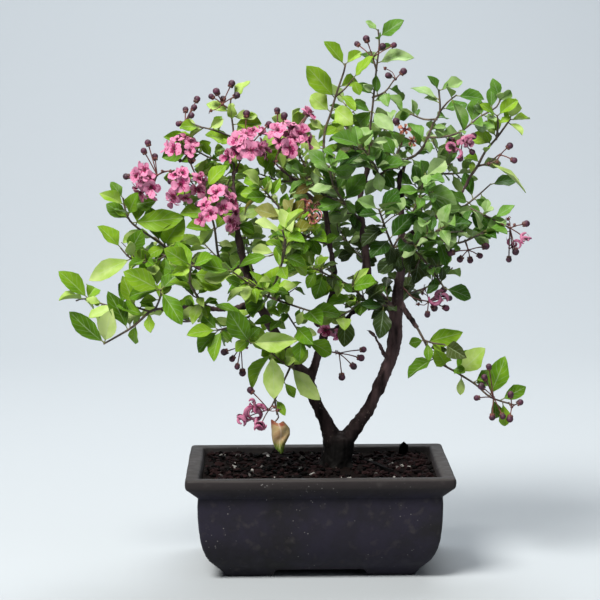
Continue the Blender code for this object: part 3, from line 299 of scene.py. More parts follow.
def stack_of_loops(levels, half, corner):
    """A rounded oblong drawn up and over through its levels of (height, inset), and its last face."""
    bm = bmesh.new()
    bmesh.ops.create_grid(bm, x_segments=1, y_segments=1, size=1)
    inset = levels[0][1]
    bmesh.ops.scale(bm, vec=(half[0] - inset, half[1] - inset, 1), verts=bm.verts)
    bmesh.ops.bevel(bm, geom=list(bm.verts), offset=corner, offset_type="OFFSET", segments=CORNER_SEGMENTS,
                    profile=0.5, affect="VERTICES", material=-1)
    long_edges = [edge for edge in bm.edges if edge.calc_length() > 3 * corner]
    bmesh.ops.subdivide_edges(bm, edges=long_edges, cuts=LONG_CUTS)
    bmesh.ops.translate(bm, verts=bm.verts, vec=(0, 0, levels[0][0]))
    cap = bm.faces[:][0]
    for (z, inset), (next_z, next_inset) in zip(levels, levels[1:]):
        cap = drawn_out(bm, cap)
        ratio = [(size - next_inset) / (size - inset) for size in half]
        bmesh.ops.scale(bm, vec=(*ratio, 1), verts=list(cap.verts))
        bmesh.ops.translate(bm, verts=list(cap.verts), vec=(0, 0, next_z - z))
    bmesh.ops.recalc_face_normals(bm, faces=bm.faces)
    return bm, cap


def cut_from(target, cutter_bm):
    """Cuts a closed shape out of the object and applies the cut."""
    cutter = placed("cutter", mesh_of("cutter", cutter_bm))
    cut = target.modifiers.new("cut", "BOOLEAN")
    cut.operation = "DIFFERENCE"
    cut.solver = "EXACT"
    cut.object = cutter
    graph = bpy.context.evaluated_depsgraph_get()
    result = bpy.data.meshes.new_from_object(target.evaluated_get(graph))
    target.modifiers.clear()
    target.data = result
    bpy.data.objects.remove(cutter)


def foot_gap(top_half, floor_half, axis):
    """A bar under the whole pot, wider at the floor than at its top, with its upper edges rounded."""
    bm = bmesh.new()
    bmesh.ops.create_cube(bm, size=2)
    for vert in bm.verts:
        half, z = (top_half, FOOT_HEIGHT) if vert.co.z > 0 else (floor_half, -3)
        vert.co = Vector((vert.co.x * half, vert.co.y * 2 * RIM_HALF[0], z))
    edges = [edge for edge in bm.edges if all(vert.co.z > 0 for vert in edge.verts)
             and abs(edge.verts[0].co.x - edge.verts[1].co.x) < 1]
    bmesh.ops.bevel(bm, geom=edges, offset=GAP_EDGE, segments=4, profile=0.5, affect="EDGES", material=-1)
    if axis == "y":
        bmesh.ops.rotate(bm, verts=bm.verts, cent=(0, 0, 0), matrix=Matrix.Rotation(math.pi / 2, 3, "Z"))
    return bm


pot_bm, _ = stack_of_loops(POT_OUTSIDE + POT_INSIDE, RIM_HALF, FOOT_CORNER)
shaped_pot = placed("pot_shape", mesh_of("pot_shape", pot_bm))
for halves, axis in FOOT_GAPS:
    cut_from(shaped_pot, foot_gap(*halves, axis))
for side in (-1, 1):
    drain = bmesh.new()
    bmesh.ops.create_cone(drain, cap_ends=True, segments=32, radius1=DRAIN_RADIUS, radius2=DRAIN_RADIUS,
                          depth=20, matrix=Matrix.Translation((side * DRAIN_X, 0, FOOT_HEIGHT)))
    cut_from(shaped_pot, drain)
pot_bm = bmesh.new()
pot_bm.from_mesh(shaped_pot.data)
bpy.data.objects.remove(shaped_pot)
pot_bm.normal_update()
for vert in pot_bm.verts:
    if vert.co.z > 1:
        uneven = noise.noise(vert.co * 0.035) * UNEVEN_BROAD + noise.noise(vert.co * 0.12) * UNEVEN_SMALL
        vert.co += Vector((vert.normal.x, vert.normal.y, 0)) * (uneven - UNEVEN_IN)

clay = Paint("stoneware")
body = clay.ramp(clay.blots(19, 9, 0.66), (0.38, CLAY), (0.60, CLAY_VIOLET))
height = clay.height()
lipped = clay.blend(clay.graded(height, *LIP_FROM_TO), body, CLAY_BROWN)
scuffs = clay.blots(120, 7)
top_wear = clay.maths("MULTIPLY", clay.graded(height, *TOP_FROM_TO), scuffs)
wear = clay.maths("MAXIMUM", top_wear, clay.graded(scuffs, 0.56, 0.76, 0, 0.5))
worn = clay.blend(wear, lipped, CLAY_WORN)
specked = clay.blend(clay.specks(260, 0.04, 0.15, 45), worn, CLAY_SPECK)
clay.coat(specked, scuffs, 0.50, 0.74, specular=0.20)
clay.relief(scuffs, 0.35, 0.0006)
piece_of("stoneware_pot", carried(pot_bm, crease=CREASE), [clay.look], "pot_clay", "pot")


# The drain gauzes
# A square of black plastic mesh lies over each drain hole, under the soil, and keeps the soil in. The
# solids are right as they are and get their material here.

net = Paint("black_net")
dusty = net.ramp(net.blots(300), (0, (0.012, 0.012, 0.013, 1)), (1, (0.045, 0.040, 0.036, 1)))
net.feed(net.shader, {"Base Color": dusty, "Roughness": 0.6})
for name in ("drain_gauze_left", "drain_gauze_right"):
    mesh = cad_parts[name].data
    mesh.materials.clear()
    mesh.materials.append(net.look)


# The soil
# A dark free-draining mix fills the pot to just under its lip. Dark brown bark chips and pale pumice grains
# lie on top, with one upright chip of charred bark and a strip of bark at the right.

SOIL_LEVELS = [(12.2, 28.0), (18.0, 21.9), (30.0, 16.7), (67.0, 13.9), (75.2, 12.3)]
SOIL_CORNER = 4.0
SOIL_TOP = 76.0
SOIL_RINGS = 26
TRUNK_AT = (14.0, 0.0)
TRUNK_CLEAR = 12
# Bark chips and their half sizes; grains of pumice, their size and the shares of it in the other two ways;
# how far the corners of either stray, as a share of its size, and the room left at the pot's wall
BARK_CHIPS = 760
CHIP_SIZES = [(1.4, 4.6), (1.0, 2.8), (0.6, 1.7)]
PUMICE = 74
PUMICE_SIZE = (0.8, 2.9)
PUMICE_SHARES = [(0.5, 0.95), (0.45, 0.8)]
RAGGED = 0.22
EDGE_CLEAR = 3
# Large chips: place above the soil, half sizes, turn, lean
LARGE_CHIPS = [((70, 54, 4.5), (3.4, 2.4, 5.6), 0.3, 0.25), ((44, 0, 1.4), (1.9, 29, 2.2), 0.42, 0.0)]
EARTH = [(0.0016, 0.0013, 0.0013, 1), (0.008, 0.0045, 0.0040, 1)]
CHIP_BROWNS = [(0.0008, 0.0006, 0.0007, 1), (0.0135, 0.0062, 0.0066, 1)]
PUMICE_GREYS = [(0.065, 0.061, 0.060, 1), (0.30, 0.29, 0.28, 1)]
CHIP_INDEX, PUMICE_INDEX = 1, 2


def off_trunk(x, y):
    """How far a place on the soil is from the middle of the trunk."""
    return math.hypot(x - TRUNK_AT[0], y - TRUNK_AT[1])


def soil_height(x, y):
    """Lumpy surface, a little higher round the trunk."""
    broad = noise.noise(Vector((x * 0.11, y * 0.11, 3.0)))
    fine = noise.noise(Vector((x * 0.31, y * 0.31, 8.0)))
    return 1.5 * broad + 0.9 * fine + 2.2 * math.exp(-(off_trunk(x, y) / 34) ** 2)


soil_bm, cap = stack_of_loops(SOIL_LEVELS, RIM_HALF, SOIL_CORNER)
edge_half = [size - SOIL_LEVELS[-1][1] for size in RIM_HALF]
for ring in range(SOIL_RINGS):
    cap = drawn_out(soil_bm, cap)
    verts = list(cap.verts)
    share = (SOIL_RINGS - ring - 0.6) / (SOIL_RINGS - ring + 0.4)
    bmesh.ops.scale(soil_bm, vec=(share, share, 1), verts=verts)
    for vert in verts:
        rough = 0.5 * noise.noise(vert.co * 0.9)
        vert.co.z = SOIL_TOP + soil_height(vert.co.x, vert.co.y) + rough
draw = random.Random(5)
tint = soil_bm.verts.layers.float.new("tint")


def marked(lump, shade, kind):
    """Gives a loose piece its own shade and its material."""
    for vert in lump["verts"]:
        vert[tint] = shade
        for face in vert.link_faces:
            face.material_index = kind


for kind, count in ((CHIP_INDEX, BARK_CHIPS), (PUMICE_INDEX, PUMICE)):
    for _ in range(count):
        x, y = (draw.uniform(-1, 1) * (half - EDGE_CLEAR) for half in edge_half)
        if off_trunk(x, y) < TRUNK_CLEAR or (kind == PUMICE_INDEX and draw.random() < 0.6 and x > 20):
            continue
        if kind == CHIP_INDEX:
            size = Vector([draw.uniform(*sizes) for sizes in CHIP_SIZES])
        else:
            longest = draw.uniform(*PUMICE_SIZE)
            size = longest * Vector((1, *[draw.uniform(*shares) for shares in PUMICE_SHARES]))
        z = SOIL_TOP + soil_height(x, y) + 0.45 * size.z + draw.uniform(0, 1.1)
        turn = Matrix.Rotation(draw.uniform(0, math.tau), 4, "Z")
        lean = Matrix.Rotation(draw.gauss(0, 0.8), 4, "X")
        spot = Matrix.Translation((x, y, z)) @ (turn @ lean) @ Matrix.Diagonal((*size, 1))
        if kind == CHIP_INDEX:
            lump = bmesh.ops.create_icosphere(soil_bm, subdivisions=1, radius=1, matrix=spot)
        else:
            tipped = Matrix.Rotation(draw.uniform(-1, 1), 4, "Y")
            lump = bmesh.ops.create_cube(soil_bm, size=1.6, matrix=spot @ tipped)
        shade = draw.random()
        for vert in lump["verts"]:
            vert.co += Vector([draw.uniform(-RAGGED, RAGGED) * size[i] for i in range(3)])
        marked(lump, shade, kind)
for (x, y, z), size, turn, lean in LARGE_CHIPS:
    turned = Matrix.Rotation(turn, 4, "Z") @ Matrix.Rotation(lean, 4, "X")
    spot = Matrix.Translation((x, y, SOIL_TOP + z)) @ turned @ Matrix.Diagonal((*size, 1))
    block = bmesh.ops.create_icosphere(soil_bm, subdivisions=1, radius=1.3, matrix=spot)
    for vert in block["verts"]:
        vert.co += 1.6 * Vector([noise.noise(vert.co * 0.6 + Vector.Fill(3, 9.0 * i)) for i in range(3)])
    marked(block, 0.05, CHIP_INDEX)


def mottled(name, colours, scale, roughness, depth, loose):
    """A rough material between two colours, by noise and, on loose pieces, by each piece's own tint."""
    paint = Paint(name)
    blots = paint.blots(scale, 5)
    level = blots
    if loose:
        own = paint.add("Attribute", {}, attribute_name="tint").outputs["Fac"]
        level = paint.add("Mix", {"Factor": 0.72, "A": blots, "B": own}).outputs["Result"]
    colour = paint.ramp(level, (0.30, colours[0]), (0.75, colours[1]))
    paint.coat(colour, blots, roughness - 0.12, roughness, specular=0.05)
    paint.relief(blots, 0.6, depth)
    return paint.look


soil_looks = [
    mottled("earth", EARTH, 420, 0.95, 0.0010, False),
    mottled("bark_chip", CHIP_BROWNS, 600, 0.85, 0.0005, True),
    mottled("pumice_grain", PUMICE_GREYS, 900, 0.95, 0.0004, True),
]
piece_of("potting_mix", carried(soil_bm), soil_looks, "soil_mix", "soil")


# Growth
# The tree grows here by the routes and the rule of its solids: wood, then twigs, umbels and leaves in turn,
# each kept clear of what stands already. What grows is noted, and the sections below give it its real form.

UP = Vector((0, 0, 1))
FRONT = Vector((0, -1, 0.1)).normalized()

# Open places in the crown, as seen from VIEW_FROM, which no leaf of the rule crosses: (x, z, radius)
VIEW_FROM = Vector((-14, -1755, 417.5))
CLEARINGS = [
    (29, 396, 9), (58, 384, 10), (-162, 268, 9), (-131, 262, 10), (-172, 240, 11), (-131, 192, 9),
    (-111, 186, 12), (-85, 179, 9), (-162, 172, 9), (-80, 221, 9), (-122, 213, 8), (98, 190, 11),
    (80, 182, 8), (75, 162, 8), (95, 151, 7), (134, 311, 10), (147, 326, 9), (164, 126, 8),
    (126, 134, 8), (-14, 150, 11), (118, 239, 8), (98, 221, 11), (106, 209, 8), (25, 174, 16),
    (-125, 181, 7), (-44, 242, 6), (-57, 239, 6), (37, 371, 6), (168, 114, 8),
]

# Radii of the trunk, twigs, stalks and blooms, and thicknesses
TRUNK_RADIUS = 12.6
TWIG_RADIUS = 1.1
SIDE_TWIG_RADIUS = 0.9
STALK_RADIUS = 0.8
PEDICEL_RADIUS = 0.45
KNOT_RADIUS = 2.0
BUD_RADIUS = 3.0
BLADE_THICKNESS = 0.8
PETAL_THICKNESS = 0.7
# Where a blade bends, along its length, its widths there and its faces
SECTIONS = (0.38, 0.74)
SECTION_WIDTHS = (1.0, 0.86)
BLADE_FACES = [
    (0, 2, 5), (2, 6, 9, 5), (6, 10, 9), (1, 4, 3), (3, 4, 8, 7), (7, 8, 11),
    (0, 1, 3, 2), (2, 3, 7, 6), (6, 7, 11, 10), (0, 5, 4, 1), (5, 9, 8, 4), (9, 10, 11, 8),
]
# Corners of a petal: shares of the radius outwards and forwards, and degrees round from its middle
PETAL_CORNERS = [(0.26, 0.04, -36), (1.0, 0.34, -20), (0.94, 0.18, 20)]
# Gap at the foot of what grows on, play round it, and how far a twig's last pair stands from its end
GAP = 0.3
CLEAR = 0.35
END_MARGIN = 1.0
# Pairs of leaves: their distance in front and in the shade, and a leaf's width, as shares of its length
LEAF_SPACING = 1.46
SHADED_SPACING = 2.1
LEAF_ASPECT = 0.56
LEAF_TRIES = 14
SEED = 11

# Branches of the wood: (x, y, z, radius) along each
WOOD = {
    "trunk": [(14, 0, 50.4, TRUNK_RADIUS), (14, 0, 79, TRUNK_RADIUS), (16, 0, 91, 12.0), (17, 0, 101, 11.4)],
    "left_trunk": [(14, 0, 94, 8.0), (8.5, -1, 106.5, 6.4), (4.4, -1, 116.5, 5.0), (-2.8, -3, 131, 4.6),
                   (-8.5, -5, 148, 4.5), (-19, -8, 162, 4.2), (-37, -12, 191, 3.8), (-50, -11, 217, 3.4),
                   (-59, -7, 246, 3.0), (-65, 2, 283, 2.4)],
    "right_trunk": [(19, 0, 94, 7.4), (27.5, 1, 106, 6.2), (35.6, 2, 116.5, 5.3), (41.5, 4, 126, 4.7),
                    (50.6, 6, 145, 5.0), (57.2, 6, 162, 5.0), (60.5, 5, 176, 5.6), (61, 4, 192, 5.5),
                    (62.5, 3, 204, 4.6), (63, 0, 221, 4.0)],
    "left_leader": [(-7, -5, 145, 3.6), (-1, -4, 163, 3.4), (4, 0, 180, 3.2), (10, 4, 206, 2.8),
                    (13, 8, 226, 2.5), (10, 10, 251, 2.2), (7, 12, 276, 2.0), (6, 12, 298, 1.8)],
    "right_leader": [(63, 0, 217, 3.6), (65, -3, 239, 3.1), (65, -6, 261, 2.7), (65, -8, 284, 2.3),
                     (63, -8, 302, 2.0), (69, -8, 318, 1.7)],
    "inner_leader": [(61, 4, 197, 4.0), (49, 10, 210, 3.9), (40, 14, 221, 3.6), (38, 16, 247, 3.1),
                     (35, 14, 269, 2.7), (34, 10, 291, 2.3), (39, 6, 310, 2.0), (42, 4, 325, 1.7)],
    "cross_branch": [(4, 1, 182, 2.8), (14, 5, 185, 2.4), (22, 8, 192, 2.1), (29, 10, 199, 1.9),
                     (41, 12, 202, 1.5)],
    "right_outer": [(65, -6, 257, 2.4), (82, -14, 268, 2.1), (97, -20, 280, 1.8), (109, -22, 291, 1.5),
                    (116, -22, 305, 1.2)],
    "right_low": [(63, 3, 210, 2.8), (68, -4, 201, 2.5), (77, -12, 188, 1.9)],
    "left_long": [(-48, -11, 212, 2.6), (-61, -14, 205, 2.4), (-79, -20, 205, 2.1), (-104, -24, 207, 1.8),
                  (-122, -26, 206, 1.5)],
    "left_high": [(-56, -8, 237, 2.1), (-75, -2, 233, 1.9), (-92, 4, 234, 1.6), (-106, 6, 241, 1.3)],
    "left_top": [(-64, 1, 278, 1.9), (-65, 4, 295, 1.6), (-65, 6, 310, 1.3)],
    "left_bud": [(-65, 4, 296, 1.4), (-80, 0, 301, 1.3), (-94, -3, 306, 1.1), (-104, -5, 309, 1.0)],
    "top_middle": [(7, 12, 276, 1.6), (-8, 10, 292, 1.4), (-22, 4, 306, 1.2), (-34, 0, 317, 1.1)],
    "dead_twig": [(56, 5, 160, 1.8), (51, -2, 168, 1.7), (43, -10, 183, 1.3), (37, -12, 187, 0.8)],
}

# Leafy sprays: parent, length of its leaves, routes of its twigs, and leaves (foot, tip, seen width)
SPRAYS = {
    "apex": ("inner_leader", 22, [
        [(42, 4, 325), (41, 3, 340), (43, 2, 360), (46, 0, 390), (48, -1, 407), (47, -2, 419)],
        [(44, 2, 367), (52, -6, 371), (58, -10, 379)],
    ], [
        ((48, -1, 413), (64, -12, 425), 12), ((47, -2, 418), (38, 2, 426), 5),
        ((47, 0, 393), (71, -8, 403), 9), ((46, 0, 391), (34, 8, 402), 8),
        ((44, 2, 369), (32, -4, 378), 7), ((52, -6, 371), (66, -10, 358), 6),
        ((55, -8, 374), (70, 6, 368), 6), ((43, 2, 356), (57, -14, 342), 13),
        ((43, 2, 357), (31, 14, 344), 12),
    ]),
    "left_spire": ("left_leader", 24, [
        [(6, 12, 298), (5, 12, 317), (6, 11, 340), (10, 10, 352), (15, 8, 369), (21, 6, 387), (22, 6, 393)],
        [(15, 8, 367), (22, 0, 374), (28, -6, 382)],
    ], [
        ((22, 6, 391), (8, 0, 411), 9), ((22, 6, 393), (42, 10, 404), 12),
        ((14, 8, 366), (-8, -4, 391), 17), ((28, -6, 382), (41, -14, 399), 9),
        ((27, -6, 381), (37, 0, 367), 11), ((11, 10, 355), (-5, 16, 369), 15),
        ((12, 10, 359), (26, -6, 348), 15), ((6, 11, 340), (-2, 4, 356), 7),
        ((6, 11, 337), (22, 18, 347), 11), ((6, 12, 326), (-12, 20, 333), 12),
    ]),
    "right_spire": ("right_leader", 22, [
        [(69, -8, 318), (75, -10, 322), (82, -12, 330), (89, -14, 347), (94, -14, 356), (93, -14, 373)],
        [(94, -14, 355), (99, -20, 363), (106, -24, 369)],
        [(91, -14, 350), (82, -8, 350), (72, -4, 354)],
        [(85, -13, 336), (97, -20, 337), (109, -24, 341), (123, -28, 352), (136, -30, 360), (139, -30, 367)],
    ], [
        ((94, -14, 365), (74, -10, 378), 8), ((93, -14, 372), (86, -18, 384), 5),
        ((93, -14, 372), (112, -6, 379), 8), ((106, -24, 369), (126, -30, 367), 10),
        ((102, -22, 366), (113, -30, 344), 11), ((89, -14, 346), (99, -2, 339), 12),
        ((72, -4, 354), (62, 4, 351), 8), ((75, -5, 354), (74, -12, 364), 6),
        ((82, -12, 332), (71, 0, 348), 8), ((139, -30, 366), (133, -34, 381), 9),
        ((138, -30, 364), (148, -22, 372), 8), ((125, -28, 353), (123, -20, 363), 9),
    ]),
    "right_reach": ("right_outer", 20, [
        [(116, -22, 305), (122, -24, 314), (128, -26, 326), (137, -28, 337), (147, -28, 351)],
        [(122, -24, 315), (129, -32, 317), (136, -38, 323)],
        [(136, -28, 336), (137, -32, 346), (136, -34, 354)],
    ], [
        ((131, -33, 318), (160, -44, 301), 6), ((133, -27, 331), (119, -22, 340), 12),
        ((136, -28, 337), (128, -20, 350), 9), ((147, -28, 351), (149, -30, 368), 14),
        ((147, -28, 351), (163, -20, 351), 5), ((145, -28, 348), (155, -40, 341), 6),
        ((124, -24, 318), (114, -8, 321), 8),
    ]),
    "low_right": ("right_low", 24, [
        [(77, -12, 188), (82, -16, 179), (90, -20, 165), (108, -24, 154), (121, -28, 146),
         (133, -30, 136), (151, -30, 130)],
        [(82, -16, 179), (89, -26, 178), (97, -34, 178)],
    ], [
        ((84, -17, 178), (109, -30, 186), 15), ((82, -16, 179), (70, -8, 175), 9),
        ((97, -34, 178), (110, -48, 171), 14), ((89, -20, 165), (68, -34, 156), 8),
        ((108, -24, 154), (127, -34, 174), 17), ((106, -24, 155), (119, -6, 169), 12),
        ((132, -30, 137), (143, -36, 167), 17), ((140, -30, 133), (167, -34, 138), 12),
        ((99, -22, 159), (90, -40, 174), 13),
    ]),
    "left_reach": ("left_long", 26, [
        [(-122, -26, 206), (-130, -26, 204), (-139, -28, 196), (-147, -28, 190), (-166, -26, 179)],
        [(-130, -26, 204), (-147, -20, 208), (-163, -18, 208), (-179, -14, 213), (-188, -12, 211)],
        [(-126, -26, 205), (-121, -36, 217), (-121, -42, 223)],
    ], [
        ((-178, -14, 213), (-198, -20, 236), 12), ((-179, -14, 213), (-173, -2, 221), 13),
        ((-166, -26, 179), (-191, -34, 205), 15), ((-165, -26, 179), (-159, -40, 205), 16),
        ((-147, -28, 190), (-159, -36, 222), 14), ((-145, -28, 191), (-147, -14, 211), 13),
        ((-155, -19, 208), (-177, -34, 199), 9), ((-141, -28, 195), (-145, -20, 177), 8),
        ((-131, -26, 204), (-131, -36, 190), 7), ((-121, -41, 221), (-104, -54, 200), 14),
        ((-121, -42, 223), (-147, -52, 237), 18), ((-121, -42, 222), (-148, -30, 219), 12),
        ((-120, -42, 223), (-98, -36, 243), 14),
    ]),
    "left_fork": ("left_high", 26, [
        [(-106, 6, 241), (-117, 6, 249), (-127, 4, 257), (-146, 0, 272), (-151, -2, 290)],
        [(-114, 6, 247), (-123, -8, 243), (-134, -16, 241), (-145, -20, 245), (-152, -22, 253)],
    ], [
        ((-151, -2, 290), (-160, 2, 303), 7), ((-149, -1, 284), (-166, -10, 297), 8),
        ((-146, 0, 273), (-165, 6, 285), 12), ((-148, 0, 276), (-137, -14, 296), 14),
        ((-144, 0, 270), (-105, -16, 276), 18), ((-152, -22, 253), (-167, -26, 271), 11),
        ((-147, -20, 246), (-136, -26, 266), 14), ((-144, -20, 243), (-176, -30, 232), 14),
        ((-130, -14, 240), (-146, -2, 245), 14), ((-123, 5, 254), (-131, 10, 283), 14),
        ((-121, 5, 251), (-104, -16, 272), 18), ((-119, 6, 250), (-126, 20, 278), 12),
    ]),
    "low_drop": ("left_trunk", 26, [
        [(-17, -9, 155), (-23, -22, 160), (-30, -30, 166), (-37, -36, 173)],
        [(-22, -20, 159), (-26, -28, 152), (-33, -32, 138), (-36, -32, 132)],
    ], [
        ((-39, -36, 173), (-35, -42, 138), 17), ((-21, -20, 160), (0, -34, 136), 15),
        ((-40, -36, 173), (-60, -28, 142), 8), ((-29, -30, 165), (-43, -20, 179), 16),
        ((-26, -26, 164), (-14, -34, 179), 14),
    ]),
    "low_left": ("left_trunk", 28, [
        [(-44, -11, 204), (-56, -30, 199), (-68, -42, 194), (-78, -48, 192)],
        [(-56, -30, 199), (-57, -44, 188), (-52, -52, 182)],
    ], [
        ((-52, -52, 183), (-68, -66, 208), 18), ((-52, -52, 182), (-20, -64, 186), 16),
        ((-76, -48, 192), (-94, -46, 176), 9), ((-73, -46, 192), (-87, -60, 172), 9),
        ((-78, -48, 192), (-100, -58, 192), 8), ((-77, -48, 193), (-91, -36, 204), 14),
        ((-66, -42, 195), (-79, -28, 178), 9),
    ]),
    "left_mass": ("left_long", 29, [
        [(-85, -21, 205), (-92, -40, 216), (-98, -56, 230), (-96, -68, 244)],
        [(-88, -30, 210), (-94, -29, 199), (-104, -10, 194), (-113, 12, 194), (-120, 30, 198)],
    ], []),
    "left_mass_back": ("left_high", 27, [
        [(-92, 4, 234), (-104, 24, 240), (-118, 44, 246), (-130, 58, 254)],
    ], []),
    "left_rise": ("left_high", 25, [
        [(-75, -2, 233), (-78, -12, 250), (-80, -16, 268), (-84, -20, 284), (-86, -22, 300)],
    ], []),
    "left_tip": ("left_top", 22, [
        [(-65, 6, 310), (-65, 5, 320), (-65, 4, 340), (-67, 4, 357), (-67, 4, 366)],
        [(-66, 4, 336), (-80, 0, 342), (-92, -2, 345)],
        [(-65, 5, 320), (-78, 14, 318), (-92, 18, 324), (-102, 20, 332)],
    ], []),
    "left_top_back": ("left_trunk", 25, [
        [(-62, -3, 263), (-66, 22, 276), (-72, 44, 290), (-78, 60, 306)],
        [(-66, 22, 276), (-86, 34, 286), (-100, 40, 300)],
    ], []),
    "centre_left": ("left_leader", 26, [
        [(10, 10, 251), (-4, -10, 258), (-18, -28, 266), (-28, -44, 278)],
        [(-4, -10, 258), (-24, -12, 250), (-38, -22, 246)],
        [(-18, -28, 266), (-30, -30, 284), (-44, -28, 300)],
    ], []),
    "centre_top": ("left_leader", 24, [
        [(6, 12, 290), (-4, 26, 304), (-14, 34, 322), (-20, 36, 342)],
        [(-4, 26, 304), (-26, 30, 300), (-44, 26, 306)],
    ], []),
    "centre_low": ("left_trunk", 27, [
        [(-50, -11, 217), (-36, -26, 214), (-22, -36, 210), (-8, -42, 206)],
        [(-30, -30, 212), (-20, -38, 196), (-10, -42, 182)],
    ], []),
    "back_left": ("left_trunk", 28, [
        [(-40, -12, 196), (-44, 20, 207), (-50, 50, 223), (-54, 68, 236), (-60, 94, 262)],
        [(-50, 50, 223), (-74, 66, 232), (-90, 76, 246)],
    ], []),
    "back_middle": ("inner_leader", 26, [
        [(38, 16, 237), (26, 45, 248), (18, 72, 262), (12, 88, 276), (8, 100, 294)],
        [(26, 45, 248), (6, 56, 268), (-12, 62, 292)],
    ], []),
    "back_right": ("right_trunk", 26, [
        [(62, 4, 193), (70, 35, 209), (76, 60, 226), (84, 76, 240), (92, 98, 270)],
        [(70, 35, 209), (90, 48, 214), (110, 56, 228)],
    ], []),
    "front_left": ("left_trunk", 27, [
        [(-44, -11, 206), (-37, -38, 220), (-31, -60, 236), (-26, -80, 258), (-28, -88, 272)],
        [(-37, -38, 220), (-52, -58, 228), (-66, -72, 240)],
    ], []),
    "front_right": ("right_leader", 25, [
        [(65, -3, 239), (57, -32, 253), (51, -55, 267), (44, -74, 286)],
        [(57, -32, 253), (76, -52, 260), (94, -64, 272)],
        [(57, -32, 253), (68, -40, 274), (76, -44, 292), (80, -46, 308)],
    ], []),
    "inner_low": ("cross_branch", 27, [
        [(41, 12, 202), (34, -2, 212), (24, -14, 222), (10, -26, 230), (-4, -34, 238)],
        [(34, -2, 212), (26, -20, 204), (16, -30, 200)],
    ], []),
    "trunk_shade": ("right_trunk", 22, [
        [(62, 3, 202), (57, -8, 205), (50, -20, 207)],
    ], [
        ((50, -20, 207), (47, -28, 183), 15), ((52, -17, 206), (28, -24, 198), 8),
    ]),
    "crown_left": ("inner_leader", 25, [
        [(35, 14, 269), (22, -6, 284), (12, -22, 300), (8, -34, 316)],
        [(22, -6, 284), (4, -4, 292), (-10, -8, 306)],
    ], []),
    "crown": ("inner_leader", 24, [
        [(36, 8, 298), (48, -4, 306), (58, -12, 318), (64, -12, 330)],
        [(48, -4, 306), (42, -24, 318), (32, -36, 332)],
    ], []),
    "crown_back": ("inner_leader", 24, [
        [(39, 6, 310), (30, 26, 324), (24, 42, 342), (24, 52, 360)],
        [(30, 26, 324), (48, 44, 332), (60, 54, 346)],
    ], []),
    "right_mid": ("right_outer", 27, [
        [(82, -14, 268), (90, -26, 260), (100, -32, 256), (112, -36, 258), (126, -40, 266)],
    ], []),
    "right_side": ("right_outer", 24, [
        [(97, -20, 280), (112, -28, 284), (126, -34, 278), (138, -36, 272)],
        [(112, -28, 284), (124, -16, 292), (134, -10, 300)],
    ], []),
    "right_back": ("right_leader", 24, [
        [(65, -8, 284), (80, 10, 294), (92, 26, 306), (98, 38, 324)],
        [(92, 26, 306), (112, 28, 306), (130, 28, 312)],
    ], []),
    "right_under": ("right_leader", 25, [
        [(65, -6, 258), (78, -22, 246), (88, -34, 234), (96, -42, 222)],
    ], []),
}

